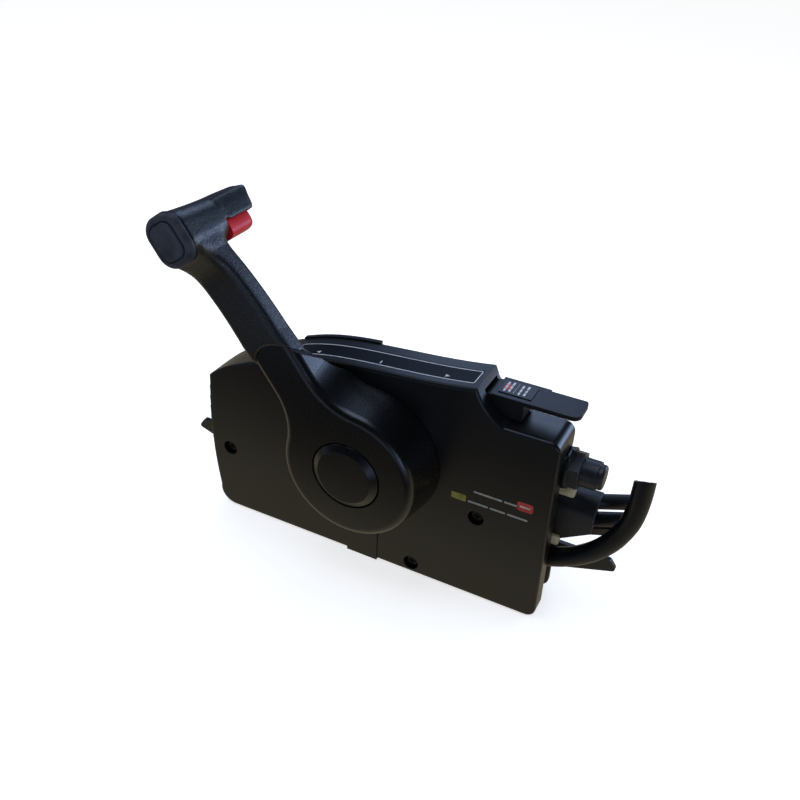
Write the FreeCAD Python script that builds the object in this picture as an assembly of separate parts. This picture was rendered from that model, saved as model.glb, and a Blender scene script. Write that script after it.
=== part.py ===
import FreeCAD, Part
import math
import os

# Side-mount engine control for a small boat, in millimetres.
# X runs to the right along the box, Y into the boat's side panel and Z up.
# The origin is on the lever's shaft axis in the panel's surface, where the mounting ears bear.
V = FreeCAD.Vector
AXIS_X = V(1, 0, 0)
AXIS_Y = V(0, 1, 0)
AXIS_Z = V(0, 0, 1)
ORIGIN = V(0, 0, 0)

# Lever travel, in degrees from upright; negative leans to the left, which is forward.
rest_angle = -35.5
detent_angles = (-35.5, 0.0, 35.5)
forward_travel = 50.0
reverse_travel = 95.0

# Fits and gaps
running_clearance = 0.06
slide_clearance = 0.3
seam_gap = 0.15
moving_gap = 0.8

# Front cover, seen from the front, measured from the shaft axis
cover_depth = 29.0
cover_wall = 3.0
cover_left = 118.5
cover_right = 115.0
cover_bottom = 84.0
shoulder_height = 17.0
crown_at_shoulder = 34.0
crown_at_quarter = 51.0
crown_at_shaft = 57.3
crown_end_height = 64.3
crown_end_x = 64.5
step_bottom_x = 82.0
nose_height = 44.5
bottom_left_radius = 11.0
bottom_right_radius = 6.0
nose_end_radius = 6.0
step_radius = 26.0
cover_edge_radius = 1.8
plan_corner_radius = 20.0
nose_depth = 26.0
end_lip_depth = 12.0
end_window_top = 31.0
end_window_start = 103.0

# Mounting plate with its ears
plate_thickness = 3.0
plate_inset = 1.5
plate_corner_cut = 24.0
plate_opening_left = -50.0
plate_opening_right = 44.0
plate_opening_bottom = -55.0
plate_opening_top = 21.0
plate_opening_radius = 14.0
ear_reach = 153.0
ear_top = -45.0
ear_top_end = 148.0
ear_tip_bottom = -52.0
ear_root_bottom = -67.0
ear_tip_radius = 2.0
ear_hole_radius = 3.25
ear_hole_x = 133.0
ear_hole_z = -51.4

# Rear case, let into the panel's cut-out
case_left = 96.0
case_right = 97.0
case_top = 30.0
case_top_left = -50.0
case_top_right = 36.0
case_left_wall_top = 10.0
case_right_wall_top = -2.0
case_bottom = 72.0
case_depth = 36.0
case_wall = 2.5
case_corner_radius = 12.0
case_boss_radius = 5.5
case_boss_sink = 0.6
case_upper_screw = -4.0
case_boss_shift = 16.0

# Position strip in the crown
strip_start_x = -58.0
strip_end_x = 61.0
strip_front_gap = 6.0
strip_width = 15.0
strip_thickness = 1.2

# Lever hub, measured forward of the cover's front face
hub_face = 28.5
hub_face_radius = 42.0
hub_base_radius = 46.5
hub_edge_radius = 5.0
neck_half_width = 15.2
neck_flare = 1.6
neck_blend_radius = 40.0
neck_end_radius = 17.0
neck_end_centre = 70.5
neck_end_slant = 0.62
neck_underside = 14.5
neck_lift_start = 50.0
neck_lift_end = 70.0
hub_cavity_radius = 36.0
hub_cavity_depth = 17.5
hub_boss_radius = 16.0

# Upper arm: station along the arm, front and back forward of the cover's face
arm_stations = (
    (66.0, 28.4, 15.6),
    (100.0, 29.3, 15.4),
    (124.0, 31.0, 17.4),
    (136.0, 34.0, 19.0),
    (143.0, 38.5, 19.6),
    (152.0, 45.0, 19.6),
)
arm_low_half_width = 14.5
arm_high_half_width = 12.4
arm_corner_radius = 3.2
tongue_half_width = 7.0
tongue_reach = 104.0
tongue_front = 25.5
tongue_back = 20.0

# Grip: forward of the cover's face, centre along the arm, half height, half width
grip_stations = (
    (46.0, 161.2, 14.2, 12.6),
    (38.0, 161.0, 13.6, 12.2),
    (10.0, 160.0, 12.7, 12.1),
    (-12.0, 158.8, 12.0, 11.9),
)
grip_corner_radius = 9.5
grip_end_radius = 6.5
cap_thickness = 4.6
cap_overhang = 0.5
cap_edge_radius = 3.2
cap_panel_margin = 3.4
cap_panel_rise = 0.9
cap_groove_width = 0.9
cap_groove_depth = 1.0

# Release trigger under the back of the grip
trigger_top = 157.2
trigger_bottom = 146.6
trigger_half_width = 10.3
trigger_travel = 4.5
trigger_front = 14.6
trigger_back = -9.2
trigger_edge_radius = 4.2
lock_rod_radius = 1.6
lock_rod_forward = 22.6
pawl_half_width = 3.0
pawl_bottom = 27.2
pawl_top = 31.2
pawl_reach = 2.6
lock_ring_radius = 26.4
lock_ring_inner = 21.0
lock_ring_height = 5.0
lock_notch_depth = 4.2

# Neutral throttle button in the hub's centre
button_radius = 21.2
button_top_radius = 17.2
button_proud = 2.6
button_pocket_radius = 22.3
button_pocket_depth = 8.0
button_base = 2.4
button_travel = 4.0
button_stem_radius = 4.8
button_stem_length = 34.0
button_spring_radius = 8.0
spring_well_radius = 9.6
spring_well_floor = 17.2
button_spring_wire = 0.6
button_spring_turns = 2

# Main shaft and what it carries
shaft_radius = 9.0
shaft_bore = 5.2
shaft_front = 15.0
shaft_end_gap = 0.9
shaft_back_y = case_depth - case_wall - shaft_end_gap
bushing_wall = 3.5
bushing_flange = 2.0
bushing_length = 12.0
detent_disc_radius = 25.0
detent_disc_thickness = 5.0
detent_disc_y = -17.0
detent_notch_radius = 4.2
detent_notch_offset = 2.2
detent_hole_radius = 4.0
detent_hole_angles = (120, 180, 240)
detent_roller_radius = 3.5
detent_pin_radius = 1.2
detent_spring_thickness = 0.9
detent_spring_width = 7.0
detent_leaf_gap = 1.5
detent_leaf_top = 6.0
detent_foot_z = -46.0
detent_foot_reach = 12.0
detent_ear_reach = 2.6
detent_bracket_thickness = 3.0
detent_leg_bottom = -62.0

# Gears inside the rear case
gear_module = 2.0
pressure_angle = 20.0
drive_teeth = 18
shift_teeth = 30
throttle_teeth = 27
gear_width = 6.0
flank_steps = 4
gear_y = 4.0
gear_backlash = 0.36
tip_clearance = 0.5
shift_gear_direction = -25.0
throttle_gear_direction = 205.0
sector_margin = 20.0
gear_pin_radius = 4.0
gear_hub_radius = 8.0
crank_reach = 33.0
crank_thickness = 3.0
crank_end_radius = 5.0
crank_hole_radius = 2.5
shift_crank_angle = -100.0
throttle_crank_angle = -80.0
gear_pin_head = 1.6

# Fast idle lever beside the crown
idle_pivot_x = 70.0
idle_pivot_z = 50.0
idle_tab_top = 59.0
idle_tab_thickness = 2.6
idle_tab_left = 70.6
idle_tab_right = 120.0
idle_tab_front = -23.6
idle_tab_back = -3.4
idle_tab_corner = 5.0
idle_barrel_radius = 3.6
idle_barrel_front = -19.4
idle_barrel_back = -4.6
idle_pin_radius = 1.9
idle_pin_seat = 2.0
idle_web_right = 88.0
idle_slot_radius = 10.9
idle_plate_margin = 3.0
idle_plate_length = 19.0
idle_plate_width = 13.5
idle_plate_thickness = 0.5

# Emergency stop switch at the right end
switch_x = 114.6
switch_y = -10.8
switch_z = 17.6
switch_neck_radius = 5.6
switch_neck_length = 9.0
switch_nut_flats = 20.6
switch_nut_thickness = 6.0
switch_ring_radius = 12.2
switch_ring_thickness = 1.4
switch_barrel_radius = 8.5
switch_barrel_length = 9.5
switch_button_radius = 7.3
switch_button_length = 6.0
switch_button_travel = 2.5
switch_button_proud = 3.4
switch_blade_length = 5.0
switch_blade_half = 1.6
switch_blade_offset = 2.4
switch_blade_thickness = 0.4
switch_bracket_thickness = 2.0
switch_bracket_half = 9.0
switch_bracket_foot = 16.0

# Cable entry at the right end
block_front_y = -12.0
block_back_y = 7.0
block_top_z = -7.0
block_bottom_z = -27.5
block_end_x = 134.0
shelf_start_x = 117.0
shelf_end = (146.0, 4.5)
shelf_back = (140.0, 16.0)
shelf_thickness = 5.0
sleeve_turn = 27.0
sleeve_radius = 4.6
sleeve_bore = 3.0
sleeve_length = 33.0
sleeve_start_x = 126.0
sleeve_y = -3.0
upper_sleeve_z = -8.6
lower_sleeve_z = -21.9
nylon_nut_flats = 6.4
nylon_nut_length = 6.4
nylon_stud_radius = 1.6
nylon_nut_places = ((110.4, -12.6, 1.2), (109.6, -13.2, -35.2))
stud_collar_radius = 2.6
terminal_x = 95.0
terminal_thickness = 1.8
terminal_front_y = -20.5
terminal_bottom = -64.0
terminal_top = 9.0
terminal_foot = 9.0
terminal_foot_bottom = -42.0
terminal_foot_top = -29.0

# Harness lead, from its grommet to its cut end
harness_diameter = 12.0
harness_y = -13.7
harness_points = (
    (100.0, -52.3),
    (112.0, -49.5),
    (128.0, -42.5),
    (142.0, -31.0),
    (152.5, -15.0),
    (158.5, 4.5),
    (158.5, 24.5),
)
grommet_radius = 8.5
grommet_length = 8.0
grommet_groove = 1.5
grommet_edge = 0.8

# Screws
front_screw_places = ((-103.6, -35.6), (71.7, -22.8), (31.8, -76.4))
front_screw_recess = 5.1
front_screw_recess_depth = 5.0
front_screw_radius = 2.5
front_screw_head = 4.4
front_screw_head_height = 2.6
front_screw_short = 0.4
boss_wall = 3.0
case_screw_radius = 2.0
case_screw_head = 3.8
case_screw_head_height = 2.2
case_screw_length = 14.0
arm_screw_radius = 2.0
arm_screw_head = 3.6
arm_screw_places = (92.0, 99.0)

# Tongue that closes the slot under the hub
slot_left = -14.3
slot_right = 7.7
slot_top = -46.0
tongue_proud = 0.6

# Friction brake on the shaft
shoe_width = 7.0
shoe_height = 9.0
shoe_y = 17.2
shoe_half_thickness = 3.5
friction_screw_radius = 3.0

# Worked out from the sizes above
front_y = -(plate_thickness + cover_depth)
cover_back_y = -plate_thickness
inner_front_y = front_y + cover_wall
hub_back_y = front_y - moving_gap
hub_face_y = front_y - hub_face
drive_radius = gear_module * drive_teeth / 2
shift_radius = gear_module * shift_teeth / 2
throttle_radius = gear_module * throttle_teeth / 2


def forward(distance):
    """Y of a point this far in front of the cover's front face."""
    return front_y - distance


def polar(radius, degrees):
    """X and Z at this radius and angle; the angle runs from +X towards +Z."""
    turn = math.radians(degrees)
    return radius * math.cos(turn), radius * math.sin(turn)


def rest(shape):
    """Turn a piece drawn with the lever upright to where the lever rests."""
    placed = shape.copy()
    placed.rotate(ORIGIN, AXIS_Y, rest_angle)
    return placed


def save(name, shape):
    shape = shape.removeSplitter() if shape.ShapeType != "Compound" else shape
    shape.exportStep("parts/" + name + ".step")
    print(name, "solids", len(shape.Solids), "volume", round(shape.Volume), "valid", shape.isValid())


def cylinder_y(x, z, radius, y_start, y_end):
    """Round bar along Y."""
    return Part.makeCylinder(radius, y_end - y_start, V(x, y_start, z), AXIS_Y)


def box(x_start, x_end, y_start, y_end, z_start, z_end):
    corner = V(x_start, y_start, z_start)
    return Part.makeBox(x_end - x_start, y_end - y_start, z_end - z_start, corner)


def prism_y(wire, y_start, y_end):
    """Solid of an XZ outline drawn at y_start, carried to y_end."""
    return Part.Face(wire).extrude(V(0, y_end - y_start, 0))


def arc3(a, b, c):
    return Part.Arc(a, b, c).toShape()


def line(a, b):
    return Part.LineSegment(a, b).toShape()


def rounded_wire(points, radii, y):
    """Closed XZ outline of straight sides whose corners are rounded by tangent arcs."""
    count = len(points)
    starts = []
    ends = []
    middles = []
    for index in range(count):
        corner = V(points[index][0], y, points[index][1])
        before = V(points[index - 1][0], y, points[index - 1][1])
        after = V(points[(index + 1) % count][0], y, points[(index + 1) % count][1])
        to_before = (before - corner).normalize()
        to_after = (after - corner).normalize()
        half = to_before.getAngle(to_after) / 2
        radius = radii[index]
        cut = radius / math.tan(half)
        bisector = (to_before + to_after).normalize()
        starts.append(corner + to_before * cut)
        ends.append(corner + to_after * cut)
        middles.append(corner + bisector * (radius / math.sin(half) - radius))
    edges = []
    for index in range(count):
        if radii[index] > 0:
            edges.append(arc3(starts[index], middles[index], ends[index]))
        edges.append(line(ends[index], starts[(index + 1) % count]))
    return Part.Wire(edges)


def rounded_rectangle(centre_t, centre_s, half_t, half_s, radius, plane):
    """Closed outline with four round corners, placed by plane(t, s)."""
    corner = radius * (1 - math.sqrt(0.5))
    edges = []
    sides = ((1, 1), (-1, 1), (-1, -1), (1, -1))
    for index, (sign_t, sign_s) in enumerate(sides):
        t_edge = centre_t + sign_t * half_t
        s_edge = centre_s + sign_s * half_s
        on_side = plane(t_edge, s_edge - sign_s * radius)
        on_corner = plane(t_edge - sign_t * corner, s_edge - sign_s * corner)
        on_end = plane(t_edge - sign_t * radius, s_edge)
        ends = (on_side, on_end) if index % 2 == 0 else (on_end, on_side)
        edges.append(arc3(ends[0], on_corner, ends[1]))
    wire_edges = []
    for index in range(4):
        wire_edges.append(edges[index])
        start = edges[index].lastVertex(True).Point
        end = edges[(index + 1) % 4].firstVertex(True).Point
        wire_edges.append(line(start, end))
    return Part.Wire(wire_edges)


def hexagon_prism(flats, length, start, direction):
    """Hexagonal nut blank along a direction."""
    points = []
    for corner in range(7):
        x, y = polar(flats / math.sqrt(3), 60 * corner)
        points.append(V(x, y, 0))
    solid = Part.Face(Part.makePolygon(points)).extrude(V(0, 0, length))
    turn = FreeCAD.Rotation(AXIS_Z, direction)
    solid.Placement = FreeCAD.Placement(start, turn)
    return solid


# Cover outline

def cover_wire(y, inset=0.0):
    """Front outline of the box: crown, concave step, nose, square right end and round left end."""
    left = -cover_left + inset
    right = cover_right - inset
    bottom = -cover_bottom + inset
    nose = nose_height - inset
    left_radius = bottom_left_radius - inset * 0.7
    right_radius = bottom_right_radius - inset * 0.7
    end_radius = nose_end_radius - inset * 0.7
    shoulder = V(left + 2.0, y, shoulder_height - inset)
    crown_points = [
        shoulder,
        V(-105.5 + inset * 0.6, y, shoulder_height + 8.3 - inset),
        V(-88.0, y, crown_at_shoulder - inset),
        V(-44.0, y, crown_at_quarter - inset),
        V(0.0, y, crown_at_shaft - inset),
        V(crown_end_x - inset, y, crown_end_height - inset),
    ]
    crown = Part.BSplineCurve()
    crown.interpolate(crown_points)
    step_top = crown_points[-1]
    step_foot = V(step_bottom_x - inset, y, nose)
    step_mid = (step_top + step_foot) * 0.5 - V(1.6, 0, 1.9)
    nose_start = V(right - end_radius, y, nose)
    nose_end = V(right, y, nose - end_radius)
    nose_mid = V(right - end_radius * 0.293, y, nose - end_radius * 0.293)
    right_foot = V(right, y, bottom + right_radius)
    right_mid = V(right - right_radius * 0.293, y, bottom + right_radius * 0.293)
    right_end = V(right - right_radius, y, bottom)
    left_start = V(left + 3.5 + left_radius, y, bottom)
    left_mid = V(left + 3.5 + left_radius * 0.40, y, bottom + left_radius * 0.24)
    left_end = V(left + 4.0, y, bottom + left_radius * 1.25)
    side_mid = V(left, y, -26.0)
    edges = [
        crown.toShape(),
        arc3(step_top, step_mid, step_foot),
        line(step_foot, nose_start),
        arc3(nose_start, nose_mid, nose_end),
        line(nose_end, right_foot),
        arc3(right_foot, right_mid, right_end),
        line(right_end, left_start),
        arc3(left_start, left_mid, left_end),
        arc3(left_end, side_mid, shoulder),
    ]
    return Part.Wire(edges)


def plan_cutter():
    """Takes the cover's left end round in plan, from the side wall to its back edge."""
    reach = cover_left + 20
    radius = plan_corner_radius
    start = V(-cover_left - 1, cover_back_y - radius, -200)
    foot = V(-cover_left + radius - 1, cover_back_y + 0.01, -200)
    middle = V(-cover_left - 1 + radius * 0.293, cover_back_y - radius * 0.293, -200)
    edges = [
        arc3(start, middle, foot),
        line(foot, V(-cover_left + radius - 1, cover_back_y + 40, -200)),
        line(V(-cover_left + radius - 1, cover_back_y + 40, -200), V(-reach, cover_back_y + 40, -200)),
        line(V(-reach, cover_back_y + 40, -200), V(-reach, cover_back_y - radius, -200)),
        line(V(-reach, cover_back_y - radius, -200), start),
    ]
    return Part.Face(Part.Wire(edges)).extrude(V(0, 0, 400))


def front_cover():
    outer = prism_y(cover_wire(front_y), front_y, cover_back_y)
    outer = outer.cut(plan_cutter())
    front_edges = []
    for edge in outer.Edges:
        box_of_edge = edge.BoundBox
        if abs(box_of_edge.YMin - front_y) < 1e-3 and abs(box_of_edge.YMax - front_y) < 1e-3:
            front_edges.append(edge)
    outer = outer.makeFillet(cover_edge_radius, front_edges)
    inner = prism_y(cover_wire(inner_front_y, cover_wall), inner_front_y, cover_back_y + 1)
    shifted = plan_cutter()
    shifted.translate(V(cover_wall, 0, 0))
    cover = outer.cut(inner.cut(shifted))
    # shaft boss, carried by the front wall
    boss_radius = shaft_radius + bushing_wall + 3.0
    boss_back = front_y + bushing_flange + bushing_length - 1
    cover = cover.fuse(cylinder_y(0, 0, boss_radius, inner_front_y - 0.5, boss_back))
    for x, z in front_screw_places:
        post = cylinder_y(x, z, front_screw_recess + boss_wall, inner_front_y - 0.5, cover_back_y)
        cover = cover.fuse(post.common(prism_y(cover_wire(front_y), front_y, cover_back_y)))
    cover = cover.cut(cylinder_y(0, 0, shaft_radius + bushing_wall, front_y - 1, boss_back + 1))
    flange_radius = shaft_radius + bushing_wall + bushing_flange
    cover = cover.cut(cylinder_y(0, 0, flange_radius, front_y - 1, front_y + bushing_flange))
    for x, z in front_screw_places:
        recess_end = front_y + front_screw_recess_depth
        cover = cover.cut(cylinder_y(x, z, front_screw_recess, front_y - 1, recess_end))
        cover = cover.cut(cylinder_y(x, z, front_screw_radius, front_y, cover_back_y + 1))
    # the nose and the right end are shallower than the crown, which leaves a way out for the cables
    nose_back = front_y + nose_depth
    lip_back = front_y + end_lip_depth
    cover = cover.cut(box(step_bottom_x + 7, 130, nose_back, 0, end_window_top, nose_height + 3))
    cover = cover.cut(box(end_window_start, 130, lip_back, 0, -cover_bottom - 1, end_window_top))
    # slot under the hub, closed by its own tongue
    cover = cover.cut(box(slot_left, slot_right, front_y - 1, 0, -cover_bottom - 1, slot_top))
    # recess for the position strip, following the crown
    cover = cover.cut(strip_blank(0.0, -1.0))
    # notch that the fast idle lever turns in
    notch_front = idle_tab_front - slide_clearance
    notch_back = cover_back_y + 1
    notch = cylinder_y(idle_pivot_x, idle_pivot_z, idle_slot_radius, notch_front, notch_back)
    web_floor = idle_pivot_z - idle_barrel_radius - 0.9
    notch = notch.fuse(box(idle_pivot_x, idle_web_right + 2, notch_front, notch_back, web_floor, 80))
    cover = cover.cut(notch)
    pin_front = inner_front_y - idle_pin_seat
    cover = cover.cut(cylinder_y(idle_pivot_x, idle_pivot_z, idle_pin_radius, pin_front, notch_back))
    return cover


def strip_blank(clearance, lift):
    """Bent plate lying in the crown: between its outline and the same outline lowered."""
    y_start = front_y + strip_front_gap + clearance
    y_end = y_start + strip_width - 2 * clearance
    upper = prism_y(cover_wire(y_start, lift), y_start, y_end)
    lower = prism_y(cover_wire(y_start, strip_thickness), y_start - 1, y_end + 1)
    window = box(strip_start_x + clearance, strip_end_x - clearance, y_start, y_end, 30, 90)
    return upper.common(window).cut(lower)


def position_strip():
    return strip_blank(seam_gap, 0.25)


def slot_tongue():
    plate = box(slot_left + seam_gap, slot_right - seam_gap, front_y - tongue_proud,
                front_y + cover_wall, -cover_bottom - tongue_proud, slot_top - seam_gap)
    sole = box(slot_left + seam_gap, slot_right - seam_gap, front_y, cover_back_y,
               -cover_bottom - tongue_proud, -cover_bottom + cover_wall)
    return plate.fuse(sole)


# Mounting plate

def ear_wire(side, y):
    """Swept mounting ear on one side of the plate."""
    root_x = side * (cover_right - 8)
    points = (
        (root_x, ear_top),
        (side * ear_top_end, ear_top),
        (side * ear_reach, ear_tip_bottom),
        (root_x, ear_root_bottom),
    )
    return rounded_wire(points, (0, ear_tip_radius, ear_tip_radius, 0), y)


def mounting_plate():
    plate = prism_y(cover_wire(cover_back_y, plate_inset), cover_back_y, 0)
    corner = box(-cover_left - 1, -cover_left + plate_corner_cut, -5, 1, -20, 60)
    round_corner = cylinder_y(-cover_left + plate_corner_cut, -8, plate_corner_cut - 2, -5, 1)
    upper = box(-cover_left - 1, -cover_left + plate_corner_cut, -5, 1, -8, 60)
    plate = plate.cut(upper.cut(round_corner).common(corner))
    for side in (-1, 1):
        plate = plate.fuse(prism_y(ear_wire(side, cover_back_y), cover_back_y, 0))
    # a low hook on the crown, behind the forward half of the strip
    crown_hook = prism_y(cover_wire(cover_back_y, -1.0), cover_back_y, 0)
    plate = plate.fuse(crown_hook.common(box(-62, -9, -5, 1, 30, 80)))
    # the nose stands free of the plate, and the mechanism passes through its middle
    plate = plate.cut(box(step_bottom_x - 2, 125, -5, 1, end_window_top - 2, 70))
    start, end = plate_opening_left, plate_opening_right
    low, high = plate_opening_bottom, plate_opening_top
    corners = ((start, low), (end, low), (end, high), (start, high))
    plate = plate.cut(prism_y(rounded_wire(corners, (plate_opening_radius,) * 4, -5), -5, 1))
    block_gap = slide_clearance / 2
    plate = plate.cut(box(case_right, 125, -5, 1, block_bottom_z - block_gap, block_top_z + block_gap))
    for side in (-1, 1):
        plate = plate.cut(cylinder_y(side * ear_hole_x, ear_hole_z, ear_hole_radius, -5, 1))
    for x, z in front_screw_places:
        plate = plate.cut(cylinder_y(x, z, front_screw_radius, -5, 1))
    for x, z in case_screw_places():
        plate = plate.cut(cylinder_y(x, z, case_screw_radius, -5, 1))
    return plate


# Rear case

def case_screw_places():
    inset = case_boss_radius + case_wall - case_boss_sink
    reach_left = -case_left + inset
    reach_right = case_right - inset
    low = -case_bottom + inset
    high = case_upper_screw
    return ((reach_left, low), (reach_right, low), (reach_left, high), (reach_right - case_boss_shift, high))


def case_wire(y, inset):
    """Six-sided outline: the top corners slope down, which keeps the case behind the crown."""
    left_slope = inset * math.tan(math.atan2(case_top - case_left_wall_top, case_top_left + case_left) / 2)
    right_slope = inset * math.tan(math.atan2(case_top - case_right_wall_top, case_right - case_top_right) / 2)
    left_wall = inset * math.tan(math.atan2(case_top_left + case_left, case_top - case_left_wall_top) / 2)
    right_wall = inset * math.tan(math.atan2(case_right - case_top_right, case_top - case_right_wall_top) / 2)
    points = (
        (-case_left + inset, -case_bottom + inset),
        (case_right - inset, -case_bottom + inset),
        (case_right - inset, case_right_wall_top - right_wall),
        (case_top_right - right_slope, case_top - inset),
        (case_top_left + left_slope, case_top - inset),
        (-case_left + inset, case_left_wall_top - left_wall),
    )
    radius = case_corner_radius - inset
    return rounded_wire(points, (radius,) * 6, y)


def gear_centre(radius, direction):
    return polar(drive_radius + radius, direction)


def rear_case():
    case = prism_y(case_wire(0, 0), 0, case_depth)
    back_edges = []
    for edge in case.Edges:
        if abs(edge.BoundBox.YMin - case_depth) < 1e-3:
            back_edges.append(edge)
    case = case.makeFillet(2.0, back_edges)
    case = case.cut(prism_y(case_wire(-1, case_wall), -1, case_depth - case_wall))
    floor_y = case_depth - case_wall
    rear_boss = shaft_radius + bushing_wall + 3.0
    additions = [cylinder_y(0, 0, rear_boss, floor_y - bushing_length + 2, floor_y + 0.5)]
    for x, z in case_screw_places():
        additions.append(cylinder_y(x, z, case_boss_radius, 0, floor_y + 0.5))
    for radius, direction in ((shift_radius, shift_gear_direction), (throttle_radius, throttle_gear_direction)):
        x, z = gear_centre(radius, direction)
        additions.append(cylinder_y(x, z, gear_hub_radius, gear_pin_seat_y(), floor_y + 0.5))
    shell = prism_y(case_wire(0, 0.5), 0, floor_y + 0.5)
    for addition in additions:
        case = case.fuse(addition.common(shell))
    case = case.cut(cylinder_y(0, 0, shaft_radius + bushing_wall, floor_y - bushing_length, floor_y))
    for x, z in case_screw_places():
        case = case.cut(cylinder_y(x, z, case_screw_radius - 0.3, -1, case_screw_length))
    for radius, direction in ((shift_radius, shift_gear_direction), (throttle_radius, throttle_gear_direction)):
        x, z = gear_centre(radius, direction)
        case = case.cut(cylinder_y(x, z, gear_pin_radius, -1, floor_y))
    # stiffening ribs across the back wall
    rib_bottom = -case_bottom + 1
    for rib_x in (-62.0, 62.0):
        rib = box(rib_x - 1, rib_x + 1, floor_y - 3, floor_y + 0.5, rib_bottom, case_top - 1)
        case = case.fuse(rib.common(shell))
    # way through the floor for the friction screw
    case = case.cut(cylinder_z(0, shoe_y, friction_screw_radius, -case_bottom - 1, -case_bottom + case_wall + 1))
    return case


def cylinder_z(x, y, radius, z_start, z_end):
    """Round bar along Z."""
    return Part.makeCylinder(radius, z_end - z_start, V(x, y, z_start), AXIS_Z)


def gear_pin_seat_y():
    return gear_y + gear_width + crank_thickness + 1.0


def case_screws():
    """Four screws through the plate into the rear case's posts."""
    screws = []
    for x, z in case_screw_places():
        head = cylinder_y(x, z, case_screw_head, cover_back_y - case_screw_head_height, cover_back_y)
        shank = cylinder_y(x, z, case_screw_radius - 0.3, cover_back_y, case_screw_length - 1)
        socket = cylinder_y(x, z, 1.4, cover_back_y - 3, cover_back_y - 1)
        screws.append(head.fuse(shank).cut(socket))
    return Part.makeCompound(screws)


def front_screws():
    """Three long pan-head screws in the front recesses."""
    screws = []
    for x, z in front_screw_places:
        seat = front_y + front_screw_recess_depth
        head = cylinder_y(x, z, front_screw_head, seat - front_screw_head_height, seat)
        rim = [edge for edge in head.Edges if abs(edge.BoundBox.YMax - (seat - front_screw_head_height)) < 1e-3]
        head = head.makeFillet(1.0, rim)
        shank = cylinder_y(x, z, front_screw_radius, seat, -front_screw_short)
        slot_y = seat - front_screw_head_height
        cross = box(x - 2.2, x + 2.2, slot_y - 1, slot_y + 1.1, z - 0.5, z + 0.5)
        cross = cross.fuse(box(x - 0.5, x + 0.5, slot_y - 1, slot_y + 1.1, z - 2.2, z + 2.2))
        screws.append(head.fuse(shank).cut(cross))
    return Part.makeCompound(screws)


# Hub cover

def teardrop_wire(y, radius, half_width, blend):
    """Hub circle, blended by concave arcs into a straight neck that runs on past its joint."""
    blend_z = math.sqrt((radius + blend) ** 2 - (half_width + blend) ** 2)
    ratio = radius / (radius + blend)
    hub_x = (half_width + blend) * ratio
    hub_z = blend_z * ratio
    middle_turn = math.atan2(blend_z, half_width + blend) / 2
    mid_x = half_width + blend - blend * math.cos(middle_turn)
    mid_z = blend_z - blend * math.sin(middle_turn)
    top = neck_end_centre + neck_end_radius + 20
    right_hub = V(hub_x, y, hub_z)
    left_hub = V(-hub_x, y, hub_z)
    right_neck = V(half_width, y, blend_z)
    left_neck = V(-half_width, y, blend_z)
    right_top = V(half_width, y, top)
    left_top = V(-half_width, y, top)
    edges = [
        arc3(left_hub, V(0, y, -radius), right_hub),
        arc3(right_hub, V(mid_x, y, mid_z), right_neck),
        line(right_neck, right_top),
        line(right_top, left_top),
        line(left_top, left_neck),
        arc3(left_neck, V(-mid_x, y, mid_z), left_hub),
    ]
    return Part.Wire(edges)


def neck_limit(grow):
    """Keeps the hub and its neck up to a round end that leans back towards the cover."""
    y_start = hub_face_y - 1
    depth = hub_face + 2
    radius = neck_end_radius + grow
    lean = V(0, depth, -neck_end_slant * depth)
    centre = neck_end_centre + neck_end_slant
    circle = Part.Wire([Part.makeCircle(radius, V(0, y_start, centre), AXIS_Y)])
    level = centre + math.sqrt(neck_end_radius ** 2 - (neck_half_width + neck_flare) ** 2)
    corners = [V(-60, y_start, -80), V(60, y_start, -80), V(60, y_start, level), V(-60, y_start, level)]
    slab = Part.Face(Part.makePolygon(corners + corners[:1])).extrude(lean)
    return slab.fuse(Part.Face(circle).extrude(lean))


def hub_blank():
    """Tapered teardrop from the cover's face to the hub's face."""
    flare = neck_half_width + neck_flare
    base = teardrop_wire(hub_back_y, hub_base_radius, flare, neck_blend_radius)
    face = teardrop_wire(hub_face_y, hub_face_radius, neck_half_width, neck_blend_radius)
    return Part.makeLoft([base, face], True, True)


def neck_underside_cutter():
    """Lifts the neck off the cover: an arc from the hub's base up to the neck's underside."""
    low = forward(moving_gap - 5)
    high = forward(neck_underside)
    start = V(-60, low, neck_lift_start - 4)
    on_base = V(-60, hub_back_y, neck_lift_start)
    on_neck = V(-60, high, neck_lift_end)
    middle = V(-60, (hub_back_y + high) / 2 + 1.8, (neck_lift_start + neck_lift_end) / 2 + 1.8)
    middle.y = (hub_back_y + high) / 2 - 1.8
    edges = [
        line(start, on_base),
        arc3(on_base, middle, on_neck),
        line(on_neck, V(-60, high, 130)),
        line(V(-60, high, 130), V(-60, low, 130)),
        line(V(-60, low, 130), start),
    ]
    return Part.Face(Part.Wire(edges)).extrude(V(120, 0, 0))


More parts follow.
